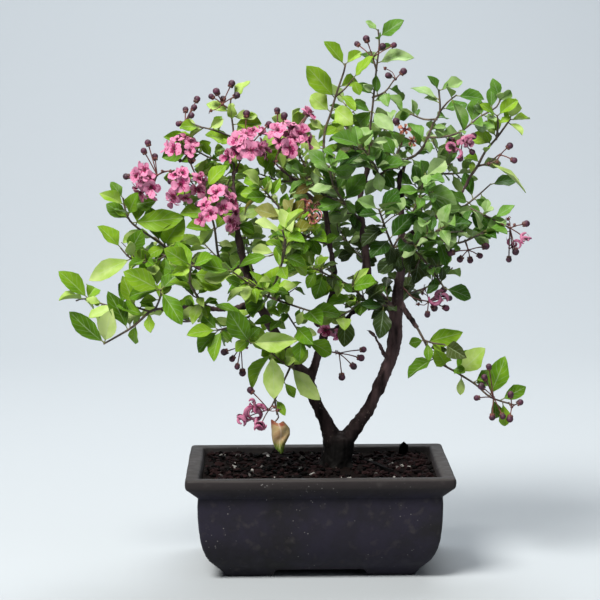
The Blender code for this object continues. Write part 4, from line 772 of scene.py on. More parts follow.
# Umbels: parent, stalk, buds and flowers (x, y, z, radius)
UMBELS = {
    "buds_top_left": ("left_tip", [(-67, 4, 357), (-72, 3, 361)], [
        (-66, 2, 378), (-78, 0, 372), (-82, 4, 368), (-73, 8, 366), (-62, -4, 369)], []),
    "buds_left": ("left_tip", [(-90, -2, 345), (-97, -2, 347)], [
        (-93, 4, 366), (-95, -6, 360), (-102, 4, 358), (-97, -12, 354), (-105, -2, 349)], []),
    "umbel_far_left": ("left_bud", [(-104, -5, 309), (-116, -8, 311), (-124, -10, 308)], [
        (-131, -6, 333), (-134, -12, 327), (-126, -2, 322), (-148, -8, 307)], [
        (-139, -18, 308, 8), (-128, -22, 300, 8), (-136, 0, 312, 8), (-136, -10, 295, 8)]),
    "umbel_left": ("left_bud", [(-94, -3, 306), (-98, -4, 316), (-101, -4, 323)], [
        (-107, 2, 337), (-98, 6, 318)], [(-110, -12, 328, 8.5), (-98, -6, 333, 8)]),
    "umbel_left_low": ("left_bud", [(-100, -4, 308), (-103, -14, 303)], [(-114, -8, 303)], [
        (-105, -27, 302, 9), (-93, -20, 298, 8.5), (-110, -20, 292, 8.5)]),
    "umbel_mid_left": ("left_rise", [(-82, -18, 278), (-78, -24, 280)], [(-92, -32, 287)], [
        (-78, -34, 296, 9), (-66, -30, 288, 9), (-82, -42, 281, 8.5), (-67, -30, 274, 8.5)]),
    "umbel_top_left": ("left_top", [(-65, 6, 306), (-60, 2, 318), (-57, -2, 324)], [
        (-50, 2, 354), (-43, -6, 351)], [
        (-62, -12, 334, 9.5), (-50, 0, 341, 9), (-52, -18, 327, 9), (-68, -4, 322, 8.5),
        (-43, 2, 329, 8.5)]),
    "umbel_top": ("top_middle", [(-34, 0, 317), (-30, -3, 325)], [(-31, 4, 357), (-26, -14, 353)], [
        (-21, 0, 345, 10), (-14, -14, 339, 9.5), (-31, -16, 342, 10), (-22, -22, 329, 9.5),
        (-7, 9, 354, 8.5)]),
    "umbel_spent": ("left_leader", [(7, 12, 280), (2, -8, 281), (-4, -20, 281)], [(-17, -34, 269)], [
        (-10, -34, 288, 8), (-5, -38, 276, 8), (-18, -26, 279, 7)]),
    "umbel_right": ("right_spire", [(109, -24, 341), (110, -28, 333)], [
        (102, -22, 336), (118, -34, 338), (117, -38, 326), (108, -36, 321)], [
        (112, -40, 334, 9), (103, -34, 329, 7)]),
    "umbel_back_right": ("crown", [(64, -12, 330), (65, -16, 337)], [(60, -18, 349)], [
        (66, -28, 343, 8), (72, -24, 334, 7)]),
    "umbel_low": ("left_leader", [(5, 0, 184), (4, -10, 184)], [(-1, -16, 193)], [
        (5, -22, 188, 8.5), (15, -16, 184, 7)]),
    "buds_low": ("left_leader", [(2, -1, 174), (8, -10, 170), (16, -14, 169)], [
        (35, -16, 172), (33, -20, 166), (27, -24, 160), (18, -20, 151)], []),
    "umbel_hanging": ("low_drop", [(-36, -32, 132), (-39, -33, 128)], [(-53, -30, 143)], [
        (-50, -38, 131, 9), (-56, -32, 122, 8), (-45, -40, 119, 8)]),
    "umbel_right_mid": ("right_leader", [(63, 0, 222), (74, -14, 212), (85, -22, 210)], [
        (101, -26, 213), (97, -20, 219), (98, -32, 206), (84, -24, 200), (90, -16, 204)], [
        (92, -32, 215, 8)]),
    "umbel_far_right": ("right_side", [(138, -36, 272), (146, -37, 268)], [
        (151, -40, 249), (145, -40, 244), (159, -34, 271)], [(158, -42, 260, 6), (148, -34, 254, 6)]),
    "buds_right_row": ("right_mid", [(112, -36, 258), (114, -37, 252)], [
        (101, -34, 249), (108, -36, 244), (116, -34, 243), (123, -40, 247), (128, -36, 254)], []),
    "buds_low_right": ("low_right", [(133, -30, 136), (134, -36, 137)], [
        (130, -42, 162), (127, -38, 153), (124, -44, 147), (121, -38, 137), (133, -40, 122),
        (141, -42, 123)], []),
    "buds_low_right_end": ("low_right", [(147, -30, 131), (148, -35, 130)], [
        (147, -40, 140), (155, -36, 133), (146, -40, 121)], []),
    "buds_low_left": ("low_left", [(-56, -30, 199), (-60, -26, 186), (-60, -28, 176)], [
        (-73, -32, 173), (-67, -28, 167), (-63, -36, 162), (-59, -28, 156)], []),
    "buds_apex": ("apex", [(46, 0, 388), (43, -3, 397)], [
        (38, 0, 412), (31, 4, 408), (50, -12, 406), (59, -8, 407)], []),
    "buds_apex_low": ("apex", [(58, -10, 379), (60, -12, 381)], [(54, -18, 384), (66, -14, 387)], []),
    "buds_right_reach": ("right_reach", [(136, -38, 323), (138, -40, 324)], [
        (145, -42, 331), (148, -46, 320)], []),
}

# The dead leaf: parent, foot, tip and width
DRIED_LEAF = ("low_drop", (-35, -32, 136), (-29, -38, 97), 13.0)


def around(side, other, angle):
    """The direction at this angle in the plane of two others."""
    return side * math.cos(angle) + other * math.sin(angle)


def squared(vector, way):
    """The part of a vector that is square to the way, at unit length."""
    return (vector - way * vector.dot(way)).normalized()


def shaken(draw, size):
    """A random vector within this size each way."""
    return Vector([draw.uniform(-size, size) for _ in range(3)])


def bridge(first, n, m):
    """Faces between a ring of n points, numbered from first, and the ring of m after it."""
    if n == m:
        return [(first + i, first + (i + 1) % n, first + n + (i + 1) % n, first + n + i) for i in range(n)]
    faces = []
    a, b = 0, 0
    last_a, last_b = n if n > 1 else 0, m if m > 1 else 0
    while a < last_a or b < last_b:
        low, high = first + a % n, first + n + b % m
        if b == last_b or (a < last_a and (a + 0.5) * m < (b + 0.5) * n):
            faces.append((low, first + (a + 1) % n, high))
            a += 1
        else:
            faces.append((low, first + n + (b + 1) % m, high))
            b += 1
    return faces


def solid(rings):
    """A closed body skinned over rings of points, whose counts may differ."""
    points, faces, first = [], [], 0
    for low, high in zip(rings, rings[1:]):
        faces += bridge(first, len(low), len(high))
        points += low
        first += len(low)
    points += rings[-1]
    for ring, start in ((rings[0], 0), (rings[-1], first)):
        if len(ring) > 2:
            faces.append(tuple(range(start, start + len(ring))))
    return points, faces


def ring_of(centre, side, other, radius, count, turn=0.0):
    angles = [turn + 2 * math.pi * i / count for i in range(count)]
    return [centre + radius * around(side, other, angle) for angle in angles]


class Stem:
    """A many-sided stem through points, mitred at its bends so that its sides stay flat."""

    def __init__(self, points, radii, sides):
        self.points = [Vector(point) for point in points]
        self.radii = radii
        self.sides = sides
        self.length = sum((b - a).length for a, b in zip(self.points, self.points[1:]))
        self.ways = [(b - a).normalized() for a, b in zip(self.points, self.points[1:])]
        way = self.ways[0]
        side = way.cross(UP if abs(way.z) < 0.95 else FRONT).normalized()
        self.across = [side]
        for before, after in zip(self.ways, self.ways[1:]):
            side = side - (before + after) * side.dot(after) / (1 + before.dot(after))
            self.across.append(side)

    def nearest(self, target):
        """(distance, point, direction, radius, whether it is the end) of the nearest point of the axis."""
        best = None
        for i, (a, b) in enumerate(zip(self.points, self.points[1:])):
            along = b - a
            share = min(max((target - a).dot(along) / along.length_squared, 0), 1)
            spot = a + along * share
            away = (target - spot).length
            if best is None or away < best[0]:
                at_end = i == len(self.ways) - 1 and (b - spot).length < 0.5
                best = (away, spot, self.ways[i], self.radii[i], at_end)
        return best

    def at(self, distance):
        """(point, direction, side, other side) this far along the axis."""
        segment = 0
        for i, (a, b) in enumerate(zip(self.points, self.points[1:])):
            segment = i
            if distance <= (b - a).length:
                break
            distance -= (b - a).length
        way, side = self.ways[segment], self.across[segment]
        return self.points[segment] + way * distance, way, side, way.cross(side)

    def shape(self, grow=0.0):
        rings = []
        turn = math.pi / 3 if self.sides == 3 else 0.0
        for i, (centre, radius) in enumerate(zip(self.points, self.radii)):
            before = self.ways[max(i - 1, 0)]
            after = self.ways[min(i, len(self.ways) - 1)]
            side = self.across[max(i - 1, 0)]
            ring = []
            for offset in ring_of(Vector(), side, before.cross(side), 1, self.sides, turn):
                offset -= before * offset.dot(after) / (1 + before.dot(after))
                ring.append(centre + offset * (radius + grow))
            rings.append(ring)
        return solid(rings)


def blade(foot, direction, normal, size, droop, skip=0.0, spread=0.0):
    """A leaf bent down along its length at two sections, or what is left of it past the length skip."""
    length, width = size
    side = normal.cross(direction).normalized()
    up = direction.cross(side).normalized()
    rise = up * (BLADE_THICKNESS / 2 + spread)

    def middle(along):
        return foot + direction * along - up * droop * (along / length) ** 2 * length

    points = [middle(skip) + rise, middle(skip) - rise]
    for share, wide in zip(SECTIONS, SECTION_WIDTHS):
        centre, across = middle(share * length), side * (wide * width / 2 + spread)
        points += [centre + across + rise, centre + across - rise,
                   centre - across - rise, centre - across + rise]
    return points + [middle(length + spread) + rise, middle(length + spread) - rise], BLADE_FACES


def flower(hub, spot, facing, radius, turn, spread=0.0):
    """Five clawed petals in a shallow cup, on a three-sided stalk from the hub."""
    side = facing.orthogonal().normalized()
    other = facing.cross(side)
    front = []
    for petal in range(5):
        for out, lift, swing in PETAL_CORNERS:
            way = around(side, other, turn + math.radians(72 * petal + swing))
            front.append(spot + (radius * out + spread) * way + (radius * lift + spread) * facing)
    back = [point - facing * (PETAL_THICKNESS + 2 * spread) for point in front]
    behind = spot - facing * 1.8 * PETAL_THICKNESS
    along = (behind - hub).normalized()
    first = squared(side, along)
    second = along.cross(first)
    stalk = [ring_of(place, first, second, PEDICEL_RADIUS + spread, 3, turn) for place in (hub, behind)]
    return solid(stalk + [back, front, [spot + spread * facing]])


def bud(hub, spot, radius, turn, spread=0.0):
    """A round bud on a three-sided stalk from the hub."""
    along = (spot - hub).normalized()
    side = along.orthogonal().normalized()
    other = along.cross(side)
    radius += spread
    neck, waist = spot - along * radius, 0.5 * radius
    thick = PEDICEL_RADIUS + spread
    return solid([
        ring_of(hub, side, other, thick, 3, turn), ring_of(neck, side, other, thick, 3, turn),
        ring_of(spot - along * waist, side, other, radius, 4, turn),
        ring_of(spot + along * waist, side, other, radius, 4, turn + math.pi / 4), [spot + along * radius]])


def bloom(hub, spot, facing, radius, turn, spread=0.0):
    """A flower, or a bud where the radius is only a bud's."""
    if radius > BUD_RADIUS:
        return flower(hub, spot, facing, radius, turn, spread)
    return bud(hub, spot, radius, turn, spread)


def knot(centre):
    """The swelling that the stalks of an umbel spring from."""
    middle = ring_of(centre, Vector((1, 0, 0)), Vector((0, 1, 0)), KNOT_RADIUS, 4)
    return solid([[centre - UP * KNOT_RADIUS], middle, [centre + UP * KNOT_RADIUS]])


def corners(points):
    """The lowest and highest corner of the points' box."""
    return [[pick(point[i] for point in points) for i in range(3)] for pick in (min, max)]


class Plant:
    """The wood, sprays and umbels, each kept clear of what already stands in its way."""

    def __init__(self):
        self.stems = {}
        self.made = {}
        self.taken = []

    def take(self, node, kind, shape, facts):
        self.taken.append((node, kind, *corners(shape[0]), BVHTree.FromPolygons(*shape)))
        self.made.setdefault(node, []).append(facts)

    def blocked(self, node, shape, own_kinds=None):
        """Whether the shape cuts into another node or, given kinds, into those of its own node."""
        low, high = corners(shape[0])
        tree = None
        for other, kind, other_low, other_high, other_tree in self.taken:
            if (kind not in own_kinds or other != node) if own_kinds else other == node:
                continue
            if any(low[i] > other_high[i] or high[i] < other_low[i] for i in range(3)):
                continue
            tree = tree or BVHTree.FromPolygons(*shape)
            if tree.overlap(other_tree):
                return True
        return False

    def add_stem(self, name, stem):
        self.stems.setdefault(name, []).append(stem)
        self.take("wood" if name in WOOD else name, "stem", stem.shape(), ("stem", stem))

    def nearest(self, name, target):
        return min((stem.nearest(Vector(target)) for stem in self.stems[name]), key=lambda found: found[0])

    def spur(self, parent, foot, toward, radius):
        """A stub of the parent's wood, and (start, heading) of what grows on past it."""
        _, spot, along, thick, at_end = self.nearest(parent, foot)
        heading = (Vector(toward) - spot).normalized()
        if at_end and heading.dot(along) > 0.7:
            return spot + along * GAP, along
        spread = max(heading.cross(along).length, 0.3)
        end = spot + heading * ((thick + radius + 0.8) / spread + 1.2)
        stub = Stem([spot, end], [radius] * 2, 3)
        self.take("wood" if parent in WOOD else parent, "stem", stub.shape(), ("stub", stub))
        return end + heading * GAP, heading

    def clear_stem(self, node, points, radius, draw):
        """A stem through the points, with all but its first two shifted until it stands clear."""
        for attempt in range(30):
            moved = points[:2] + [point + shaken(draw, 0.5 * attempt) for point in points[2:]]
            stem = Stem(moved, [radius] * len(moved), 3)
            if not self.blocked(node, stem.shape(CLEAR)):
                break
        self.add_stem(node, stem)
        return stem


def grow_spray_stems(plant, name):
    parent, _, routes, _ = SPRAYS[name]
    draw = random.Random(f"{name} stems {SEED}")
    points = [Vector(point) for point in routes[0]]
    start, heading = plant.spur(parent, points[0], points[1], TWIG_RADIUS)
    rest = [point for point in points[1:] if (point - start).length > 3]
    plant.clear_stem(name, [start, start + heading * 1.5] + rest, TWIG_RADIUS, draw)
    for route in routes[1:]:
        points = [Vector(point) for point in route]
        points[0] = plant.nearest(name, points[0])[1]
        plant.clear_stem(name, points, SIDE_TWIG_RADIUS, draw)


def grow_umbel(plant, name):
    parent, stalk, buds, flowers = UMBELS[name]
    draw = random.Random(f"{name} {SEED}")
    points = [Vector(point) for point in stalk]
    start, heading = plant.spur(parent, points[0], points[1], STALK_RADIUS)
    rest = [point for point in points[1:] if (point - start).dot(heading) > 2.5] or [start + heading * 3]
    stem = plant.clear_stem(name, [start, start + heading * 1.2] + rest, STALK_RADIUS, draw)
    hub = stem.points[-1]
    plant.take(name, "stem", knot(hub), ("knot", hub))
    for x, y, z, radius in flowers + [(*spot, BUD_RADIUS) for spot in buds]:
        for attempt in range(40):
            spot = Vector((x, y, z)) + shaken(draw, 0.2 * attempt)
            facing = ((spot - hub).normalized() + 0.6 * FRONT).normalized()
            turn = draw.uniform(0, 1.2)
            foot = hub + (spot - hub).normalized() * 0.3 * KNOT_RADIUS
            wide = bloom(foot, spot, facing, radius, turn, CLEAR)
            head = bloom(hub + (spot - hub) * 0.45, spot, facing, radius, turn, 0.2)
            if not plant.blocked(name, wide) and not plant.blocked(name, head, ("bloom", "stem")):
                kind = "flower" if radius > BUD_RADIUS else "bud"
                facts = (foot, spot, facing, radius, turn)
                plant.take(name, "bloom", bloom(*facts), (kind, *facts))
                break


def try_leaf(plant, node, foot, direction, normal, size, draw):
    """Places a leaf where it cuts through nothing, turning and shortening it step by step."""
    for attempt in range(LEAF_TRIES):
        loose = 0.05 * attempt
        heading = (direction + shaken(draw, loose)).normalized()
        face = squared(normal + shaken(draw, loose), heading)
        scale = 1 - 0.025 * attempt
        facts = (foot, heading, face, (size[0] * scale, size[1] * scale), draw.uniform(0.0, 0.16))
        if not (plant.blocked(node, blade(*facts, 2.5, 0.2), ("leaf", "bloom"))
                or plant.blocked(node, blade(*facts, 5.0, 0.2), ("stem",))
                or plant.blocked(node, blade(*facts, 0.0, CLEAR))):
            plant.take(node, "leaf", blade(*facts), ("leaf", *facts))
            return


def grow_placed_leaves(plant, name):
    """The leaves that stand out in the outline, turned so that they show the given width in front."""
    draw = random.Random(f"{name} placed {SEED}")
    for foot, tip, seen in SPRAYS[name][3]:
        _, base, along, _, at_end = plant.nearest(name, foot)
        if at_end:
            base = base - along * END_MARGIN
        way = Vector(tip) - base
        direction = way.normalized()
        width = max(seen, min(0.5 * way.length, 15))
        roll = math.acos(seen / width) * (1 if direction.x < 0 else -1)
        facing = squared(FRONT, direction)
        facing.rotate(Matrix.Rotation(roll, 3, direction))
        try_leaf(plant, name, base, direction, facing, (way.length, width), draw)


def in_clearing(tip):
    """Whether a leaf's tip would stand in one of the open places."""
    seen = VIEW_FROM + (tip - VIEW_FROM) * VIEW_FROM.y / (VIEW_FROM.y - tip.y)
    return any(math.hypot(seen.x - x, seen.z - z) < radius for x, z, radius in CLEARINGS)


def to_light(foot):
    """Forwards in the front of the crown, and backwards behind it."""
    return Vector((0, -1 if foot.y < 20 else 1, 0))


def grow_rule_leaves(plant, name):
    """Opposite pairs along each stem, turned a quarter from pair to pair and held up to the light."""
    leaf_length, placed_leaves = SPRAYS[name][1], SPRAYS[name][3]
    draw = random.Random(f"{name} leaves {SEED}")
    feet = [Vector(foot) for foot, _, _ in placed_leaves]
    for index, stem in enumerate(plant.stems[name]):
        distance = stem.length - END_MARGIN
        pair = draw.randrange(2)
        while distance > (9 if index == 0 else 6):
            foot, along, side, other = stem.at(distance)
            at_tip = distance > stem.length - 2
            outward = Vector((foot.x, foot.y, 0.4 * (foot.z - 200))).normalized()
            across = side if pair % 2 or at_tip else 0.5 * side + 0.866 * other
            for way in (1, -1):
                direction = across * way + along * (1.1 if at_tip else 0.55) + outward * 0.25
                direction.z *= 0.75
                direction.normalize()
                normal = 0.8 * UP + outward * draw.uniform(0.0, 0.6) + to_light(foot) * draw.uniform(0.5, 1.4)
                length = leaf_length * draw.uniform(0.92, 1.15) * (0.88 if at_tip else 1)
                apart = all((foot - other).length > 9 for other in feet)
                if apart and not in_clearing(foot + direction * length):
                    size = (length, LEAF_ASPECT * length)
                    try_leaf(plant, name, foot, direction, squared(normal, direction), size, draw)
            pair += 1
            share = SHADED_SPACING if foot.y > 15 else LEAF_SPACING
            distance -= share * leaf_length * draw.uniform(0.85, 1.15)


def grow_dried_leaf(plant):
    parent, foot, tip, width = DRIED_LEAF
    start, heading = plant.spur(parent, foot, tip, STALK_RADIUS)
    plant.add_stem("dried_leaf", Stem([start, start + heading * 6], [STALK_RADIUS] * 2, 3))
    base = start + heading * 3
    way = Vector(tip) - base
    size = (way.length, width)
    try_leaf(plant, "dried_leaf", base, way.normalized(), FRONT, size, random.Random(SEED))


plant = Plant()
for name, points in WOOD.items():
    sides = 10 if name == "trunk" else 7 if "trunk" in name else 5
    plant.add_stem(name, Stem([point[:3] for point in points], [point[3] for point in points], sides))
for name in SPRAYS:
    grow_spray_stems(plant, name)
for name in UMBELS:
    grow_umbel(plant, name)
grow_dried_leaf(plant)
for name in SPRAYS:
    grow_placed_leaves(plant, name)
for name in SPRAYS:
    grow_rule_leaves(plant, name)


# The wood
# The trunk and its branches are one piece of living wood, cut back hard over the years: dark smooth bark
# with knots and scars, dotted with pale pores, flaring into surface roots where it enters the soil.

BARK_VOXEL = 0.00095
STEM_PACE = 3.0
# The dome of old wood where the trunk forks: its middle and half sizes
CROTCH = Matrix.Translation((15.3, 0, 96.0)) @ Matrix.Diagonal((12.0, 11.2, 9.0, 1))
# Surface roots: direction in degrees, reach and thickness, then the way that each takes, out and up, into
# the soil, and its taper
ROOTS = [(200, 19, 4.4), (262, 16, 3.8), (325, 19, 4.2), (30, 17, 4.0), (95, 18, 4.0), (150, 16, 3.6)]
ROOT_WAY = [(5, 14), (8, 6), (11, 1.5)]
ROOT_DEPTH = -4
ROOT_TAPER = (1.1, 1.05, 1.0, 0.6)
BARK = [(0.005, 0.003, 0.0035, 1), (0.115, 0.070, 0.072, 1)]
# Painted shade: the near-black colour drawn on the foot of the trunk, where the crown shades it
BARK_PAINTED_SHADE = (0.0018, 0.0014, 0.0014, 1)
BARK_PORE = (0.13, 0.10, 0.09, 1)
# Heights, in metres, over which the painted shade at the foot of the trunk gives way to the bark's own colour
PAINTED_SHADE_FROM_TO = (0.095, 0.150)


def smoothed(points, radii, pace):
    """The points and radii of a stem, eased round its bends at about this pace."""
    eased, thick = [], []
    for i in range(len(points) - 1):
        a, b, c, d = (points[min(max(i + j, 0), len(points) - 1)] for j in (-1, 0, 1, 2))
        steps = max(1, round((c - b).length / pace))
        for step in range(steps):
            t = step / steps
            eased.append(0.5 * ((2 * b) + (c - a) * t + (2 * a - 5 * b + 4 * c - d) * t * t
                                + (3 * b - a - 3 * c + d) * t ** 3))
            thick.append(radii[i] * (1 - t) + radii[i + 1] * t)
    return eased + [points[-1]], thick + [radii[-1]]


def swept(points, radii, sides):
    """A round tube along the points, closed at both ends."""
    bm = bmesh.new()
    ways = [(b - a).normalized() for a, b in zip(points, points[1:])]
    ways = [ways[0]] + [(a + b).normalized() for a, b in zip(ways, ways[1:])] + [ways[-1]]
    facing = Matrix.Translation(points[0]) @ ways[0].to_track_quat("Z", "Y").to_matrix().to_4x4()
    bmesh.ops.create_circle(bm, cap_ends=True, segments=sides, radius=radii[0], matrix=facing)
    cap = bm.faces[:][0]
    for i in range(1, len(points)):
        cap = drawn_out(bm, cap)
        turn = ways[i - 1].rotation_difference(ways[i]).to_matrix()
        for vert in cap.verts:
            vert.co = points[i] + turn @ (vert.co - points[i - 1]) * (radii[i] / radii[i - 1])
    bmesh.ops.recalc_face_normals(bm, faces=bm.faces)
    return bm


def stamped(whole, form):
    """Adds a mesh to the whole and returns its vertices and faces there."""
    verts, faces = len(whole.verts), len(whole.faces)
    whole.from_mesh(form)
    whole.verts.ensure_lookup_table()
    whole.faces.ensure_lookup_table()
    return whole.verts[verts:], whole.faces[faces:]


def add_to(whole, bm, look=0):
    """Joins a small bmesh into a larger one and returns its vertices there."""
    mesh = mesh_of("part", bm)
    verts, faces = stamped(whole, mesh)
    bpy.data.meshes.remove(mesh)
    for face in faces:
        face.material_index = look
    return verts


def put_stem(whole, points, radii, pace, sides, look=0):
    """A round stem, eased through the points."""
    add_to(whole, swept(*smoothed(points, radii, pace), sides), look)


def put_ball(whole, place, radius=1, look=0, fineness=1):
    """A round swelling, shaped and placed by a matrix."""
    ball = bmesh.new()
    bmesh.ops.create_icosphere(ball, subdivisions=fineness, radius=radius, matrix=place)
    add_to(whole, ball, look)


wood_bm = bmesh.new()
for kind, stem in plant.made["wood"]:
    points, radii = smoothed(stem.points, stem.radii, STEM_PACE)
    if kind == "stub":
        radii = [radius * (1.9 - 0.8 * i / (len(radii) - 1)) for i, radius in enumerate(radii)]
    add_to(wood_bm, swept(points, radii, 14 if max(radii) > 5 else 10))
for angle, reach, thick in ROOTS:
    out = Vector((math.cos(math.radians(angle)), math.sin(math.radians(angle)), 0))
    base = Vector((*TRUNK_AT, SOIL_TOP))
    route = [base + out * away + UP * rise for away, rise in ROOT_WAY + [(reach, ROOT_DEPTH)]]
    put_stem(wood_bm, route, [thick * share for share in ROOT_TAPER], STEM_PACE, 10)
put_ball(wood_bm, CROTCH, fineness=3)
rough_wood = placed("rough_wood", carried(wood_bm))
skin = rough_wood.modifiers.new("skin", "REMESH")
skin.mode = "VOXEL"
skin.voxel_size = BARK_VOXEL
graph = bpy.context.evaluated_depsgraph_get()
wood_mesh = bpy.data.meshes.new_from_object(rough_wood.evaluated_get(graph))
bpy.data.objects.remove(rough_wood)
wood_bm = bmesh.new()
wood_bm.from_mesh(wood_mesh)
for _ in range(5):
    bmesh.ops.smooth_vert(wood_bm, verts=wood_bm.verts, factor=0.5,
                          use_axis_x=True, use_axis_y=True, use_axis_z=True)
wood_bm.normal_update()
for vert in wood_bm.verts:
    at = vert.co * 1000
    lumps = noise.noise(at * 0.11)
    ridges = noise.noise(Vector((at.x * 0.45, at.y * 0.45, at.z * 0.10)))
    grain = noise.noise(at * 0.55)
    knobs = max(noise.noise(at * 0.21 + Vector((7, 0, 0))) - 0.25, 0)
    vert.co += vert.normal * 0.001 * (0.6 * lumps + 0.95 * ridges + 0.32 * grain + 1.5 * knobs)
wood_bm.to_mesh(wood_mesh)
wood_bm.free()
wood_mesh.shade_smooth()

bark = Paint("dark_bark")
drawn = bark.add("Mapping", {"Vector": bark.where(), "Scale": (1.6, 1.6, 0.45)}).outputs["Vector"]
blots = bark.blots(85, 6, at=drawn)
tone = bark.ramp(blots, (0.32, BARK[0]), (0.70, BARK[1]))
# Painted shade: the trunk is drawn near black below these heights, where the crown shades it
shaded_foot = bark.blend(bark.graded(bark.height(), *PAINTED_SHADE_FROM_TO), BARK_PAINTED_SHADE, tone)
pores = bark.specks(330, 0.16, 0.26, 60)
bark.coat(bark.blend(pores, shaded_foot, BARK_PORE), blots, 0.85, 0.62, specular=0.12)
bark.relief(bark.maths("ADD", blots, pores), 0.7, 0.0012)
piece_of("living_wood", wood_mesh, [bark.look], "bark", "wood")


# The leafy sprays
# Young brown-green twigs carry short-stalked leaves in opposite pairs: thin, oval and rounded at the tip,
# folded a little along a pale midrib and wavy at the edge, yellow green where light comes through.

# Gaps that the smaller leaves leave open, given as the clearings are, and others that were read in the
# photograph, in pixels across and down, with their radii in millimetres
SMALL_GAPS = [
    (60, 263, 9), (-37, 239, 9), (-92, 182, 8), (19, 185, 9), (134, 295, 9), (-57, 142, 8), (-146, 268, 8),
    (118, 217, 7), (-80, 276, 6), (-99, 276, 6), (2, 201, 8),
]
GAPS_READ = [
    (385, 245, 7), (432, 152, 7), (125, 256, 7), (175, 290, 7), (130, 342, 7), (310, 310, 7), (315, 325, 9),
    (345, 330, 8), (330, 318, 8), (302, 318, 8), (383, 245, 8), (388, 226, 7), (210, 242, 7), (218, 227, 7),
    (256, 148, 7), (350, 262, 8), (170, 222, 7), (290, 330, 7), (408, 310, 7),
]
# The plane in front that the tips of the smaller leaves stay behind
CROWN_FRONT = -100.0
# How a leaf is bent, each drawn from a range: its fold, the wave and raggedness of its edge, its sway to a
# side, its twist and the curl of its tip
LEAF_FOLD = (0.05, 0.85)
LEAF_WAVE = (0.03, 0.17)
LEAF_SWAY = (-0.07, 0.07)
LEAF_TWIST = (-0.55, 0.55)
TIP_CURL = (-0.05, 0.16)
LEAF_RAGGED = (0, 0.09)
LEAF_THICKNESS = 0.45
LEAF_STALK = [0.55, 0.45, 0.35]
STALK_LIMIT = 3.2
# Sprays at the edge of the crown, which get fewer of the smaller leaves
AIRY_SPRAYS = ("apex", "left_spire", "right_spire", "right_reach", "low_right", "left_reach", "low_drop",
               "left_tip", "left_rise", "low_left", "right_side")
# Thin places in the front of the crown, which a few leaves more cover: first those that were read in
# the photograph, in pixels across and down and with their reach in pixels, then some given as (x, z, radius),
# more read in pixels, of one radius, and the last ones as (x, z, radius)
THIN_READ = [
    (232, 105, 6), (258, 118, 6), (265, 138, 7), (270, 151, 6), (165, 140, 7), (166, 160, 7), (160, 190, 8),
    (148, 200, 7), (180, 194, 8), (248, 190, 11), (236, 170, 7), (250, 230, 9), (285, 158, 8), (330, 150, 7),
    (349, 172, 9), (372, 190, 12), (351, 208, 8), (315, 250, 10), (345, 257, 9), (373, 262, 9), (366, 238, 7),
    (314, 290, 10), (328, 284, 7), (350, 290, 7), (373, 305, 8), (301, 355, 9), (240, 345, 7), (442, 272, 9),
    (434, 286, 7), (465, 212, 8), (450, 211, 7), (400, 150, 8), (382, 147, 7), (486, 205, 6), (492, 233, 7),
    (452, 155, 6), (205, 286, 7), (96, 300, 7), (186, 225, 7), (340, 338, 6), (300, 318, 8), (287, 300, 7),
    (356, 225, 6), (300, 270, 7), (405, 190, 7), (425, 150, 7), (222, 150, 8), (205, 170, 8), (285, 200, 7),
    (330, 205, 8),
]
THIN_MORE = [
    (-87, 330, 9), (-122, 300, 8), (-124, 288, 7), (59, 289, 9), (66, 285, 8), (101, 291, 8),
    (3, 240, 9), (-52, 186, 9), (-50, 176, 9), (-119, 222, 9), (-123, 294, 9), (-130, 309, 8),
    (47, 299, 9), (-103, 250, 8), (-72, 252, 8), (-10, 239, 8), (-72, 182, 8), (95, 170, 8), (-61, 319, 7),
]
THIN_READ_LATER = [
    (365, 215), (382, 192), (385, 268), (157, 196), (168, 163), (126, 285), (146, 300), (157, 275),
    (172, 150), (220, 122), (190, 138), (452, 250), (478, 212), (495, 228), (222, 322), (398, 268),
]
THIN_LAST = [(-92, 223, 7), (-82, 226, 7), (-8, 182, 7), (-2, 176, 6), (62, 335, 6), (111, 268, 6)]
LATER_RADIUS = 8
# The photograph's middle, a pixel's size at the trunk in millimetres, and the lens's distance in pixels
PHOTO_MIDDLE = 300
PIXEL_SIZE = 0.7766
LENS_PIXELS = 2260
# Sprays whose leaves are of the deeper green
DEEP_SPRAYS = ("apex", "crown", "crown_left", "crown_back", "right_mid", "right_under", "front_right",
               "right_spire", "back_middle", "back_right", "trunk_shade", "right_side", "right_back")
# Colours from a leaf's darkest tone to its lightest
LEAF_TONES = {
    "fresh_leaf": [(0.026, 0.072, 0.004, 1), (0.115, 0.265, 0.011, 1), (0.26, 0.44, 0.026, 1),
                   (0.52, 0.64, 0.24, 1)],
    "deep_leaf": [(0.007, 0.028, 0.004, 1), (0.043, 0.140, 0.010, 1), (0.135, 0.295, 0.040, 1),
                  (0.44, 0.58, 0.28, 1)],
}
LEAF_RUST = (0.20, 0.10, 0.030, 1)
LEAF_BACK = (0.34, 0.42, 0.15, 1)
# Painted shade: the near-black grey green of the dusky leaves in the shaded heart of the crown
LEAF_SHADE = (0.020, 0.030, 0.010, 1)
LEAF_GLOW = (0.55, 0.66, 0.07, 1)
THROUGH_LIGHT = 0.30
YOUNG_BARK = [(0.030, 0.018, 0.014, 1), (0.12, 0.085, 0.055, 1)]
GREEN_STALK = [(0.085, 0.11, 0.02, 1), (0.20, 0.20, 0.05, 1)]
STALK_INDEX, TWIG_INDEX = 1, 2
LEAF_CREASE = 50


def read_place(across, down, radius):
    """A place read in the photograph's pixels, as (x, z, radius) in the plane of the pot's middle."""
    slope = math.radians(LENS_DOWN) + math.atan((down - PHOTO_MIDDLE) / LENS_PIXELS)
    x = (across - PHOTO_MIDDLE) * PIXEL_SIZE + VIEW_FROM.x
    return round(x), round(VIEW_FROM.z + VIEW_FROM.y * math.tan(slope)), radius


def leaf_outline(v):
    """Half width of the blade, as a share of its widest, this far along it."""
    swell = math.sin(math.pi * v ** 1.08)
    return max(swell, 0) ** (0.95 if v < 0.526 else 0.80)


def uv_layer(bm, name):
    """The UV map of this name, made if there is none yet."""
    return bm.loops.layers.uv.get(name) or bm.loops.layers.uv.new(name)


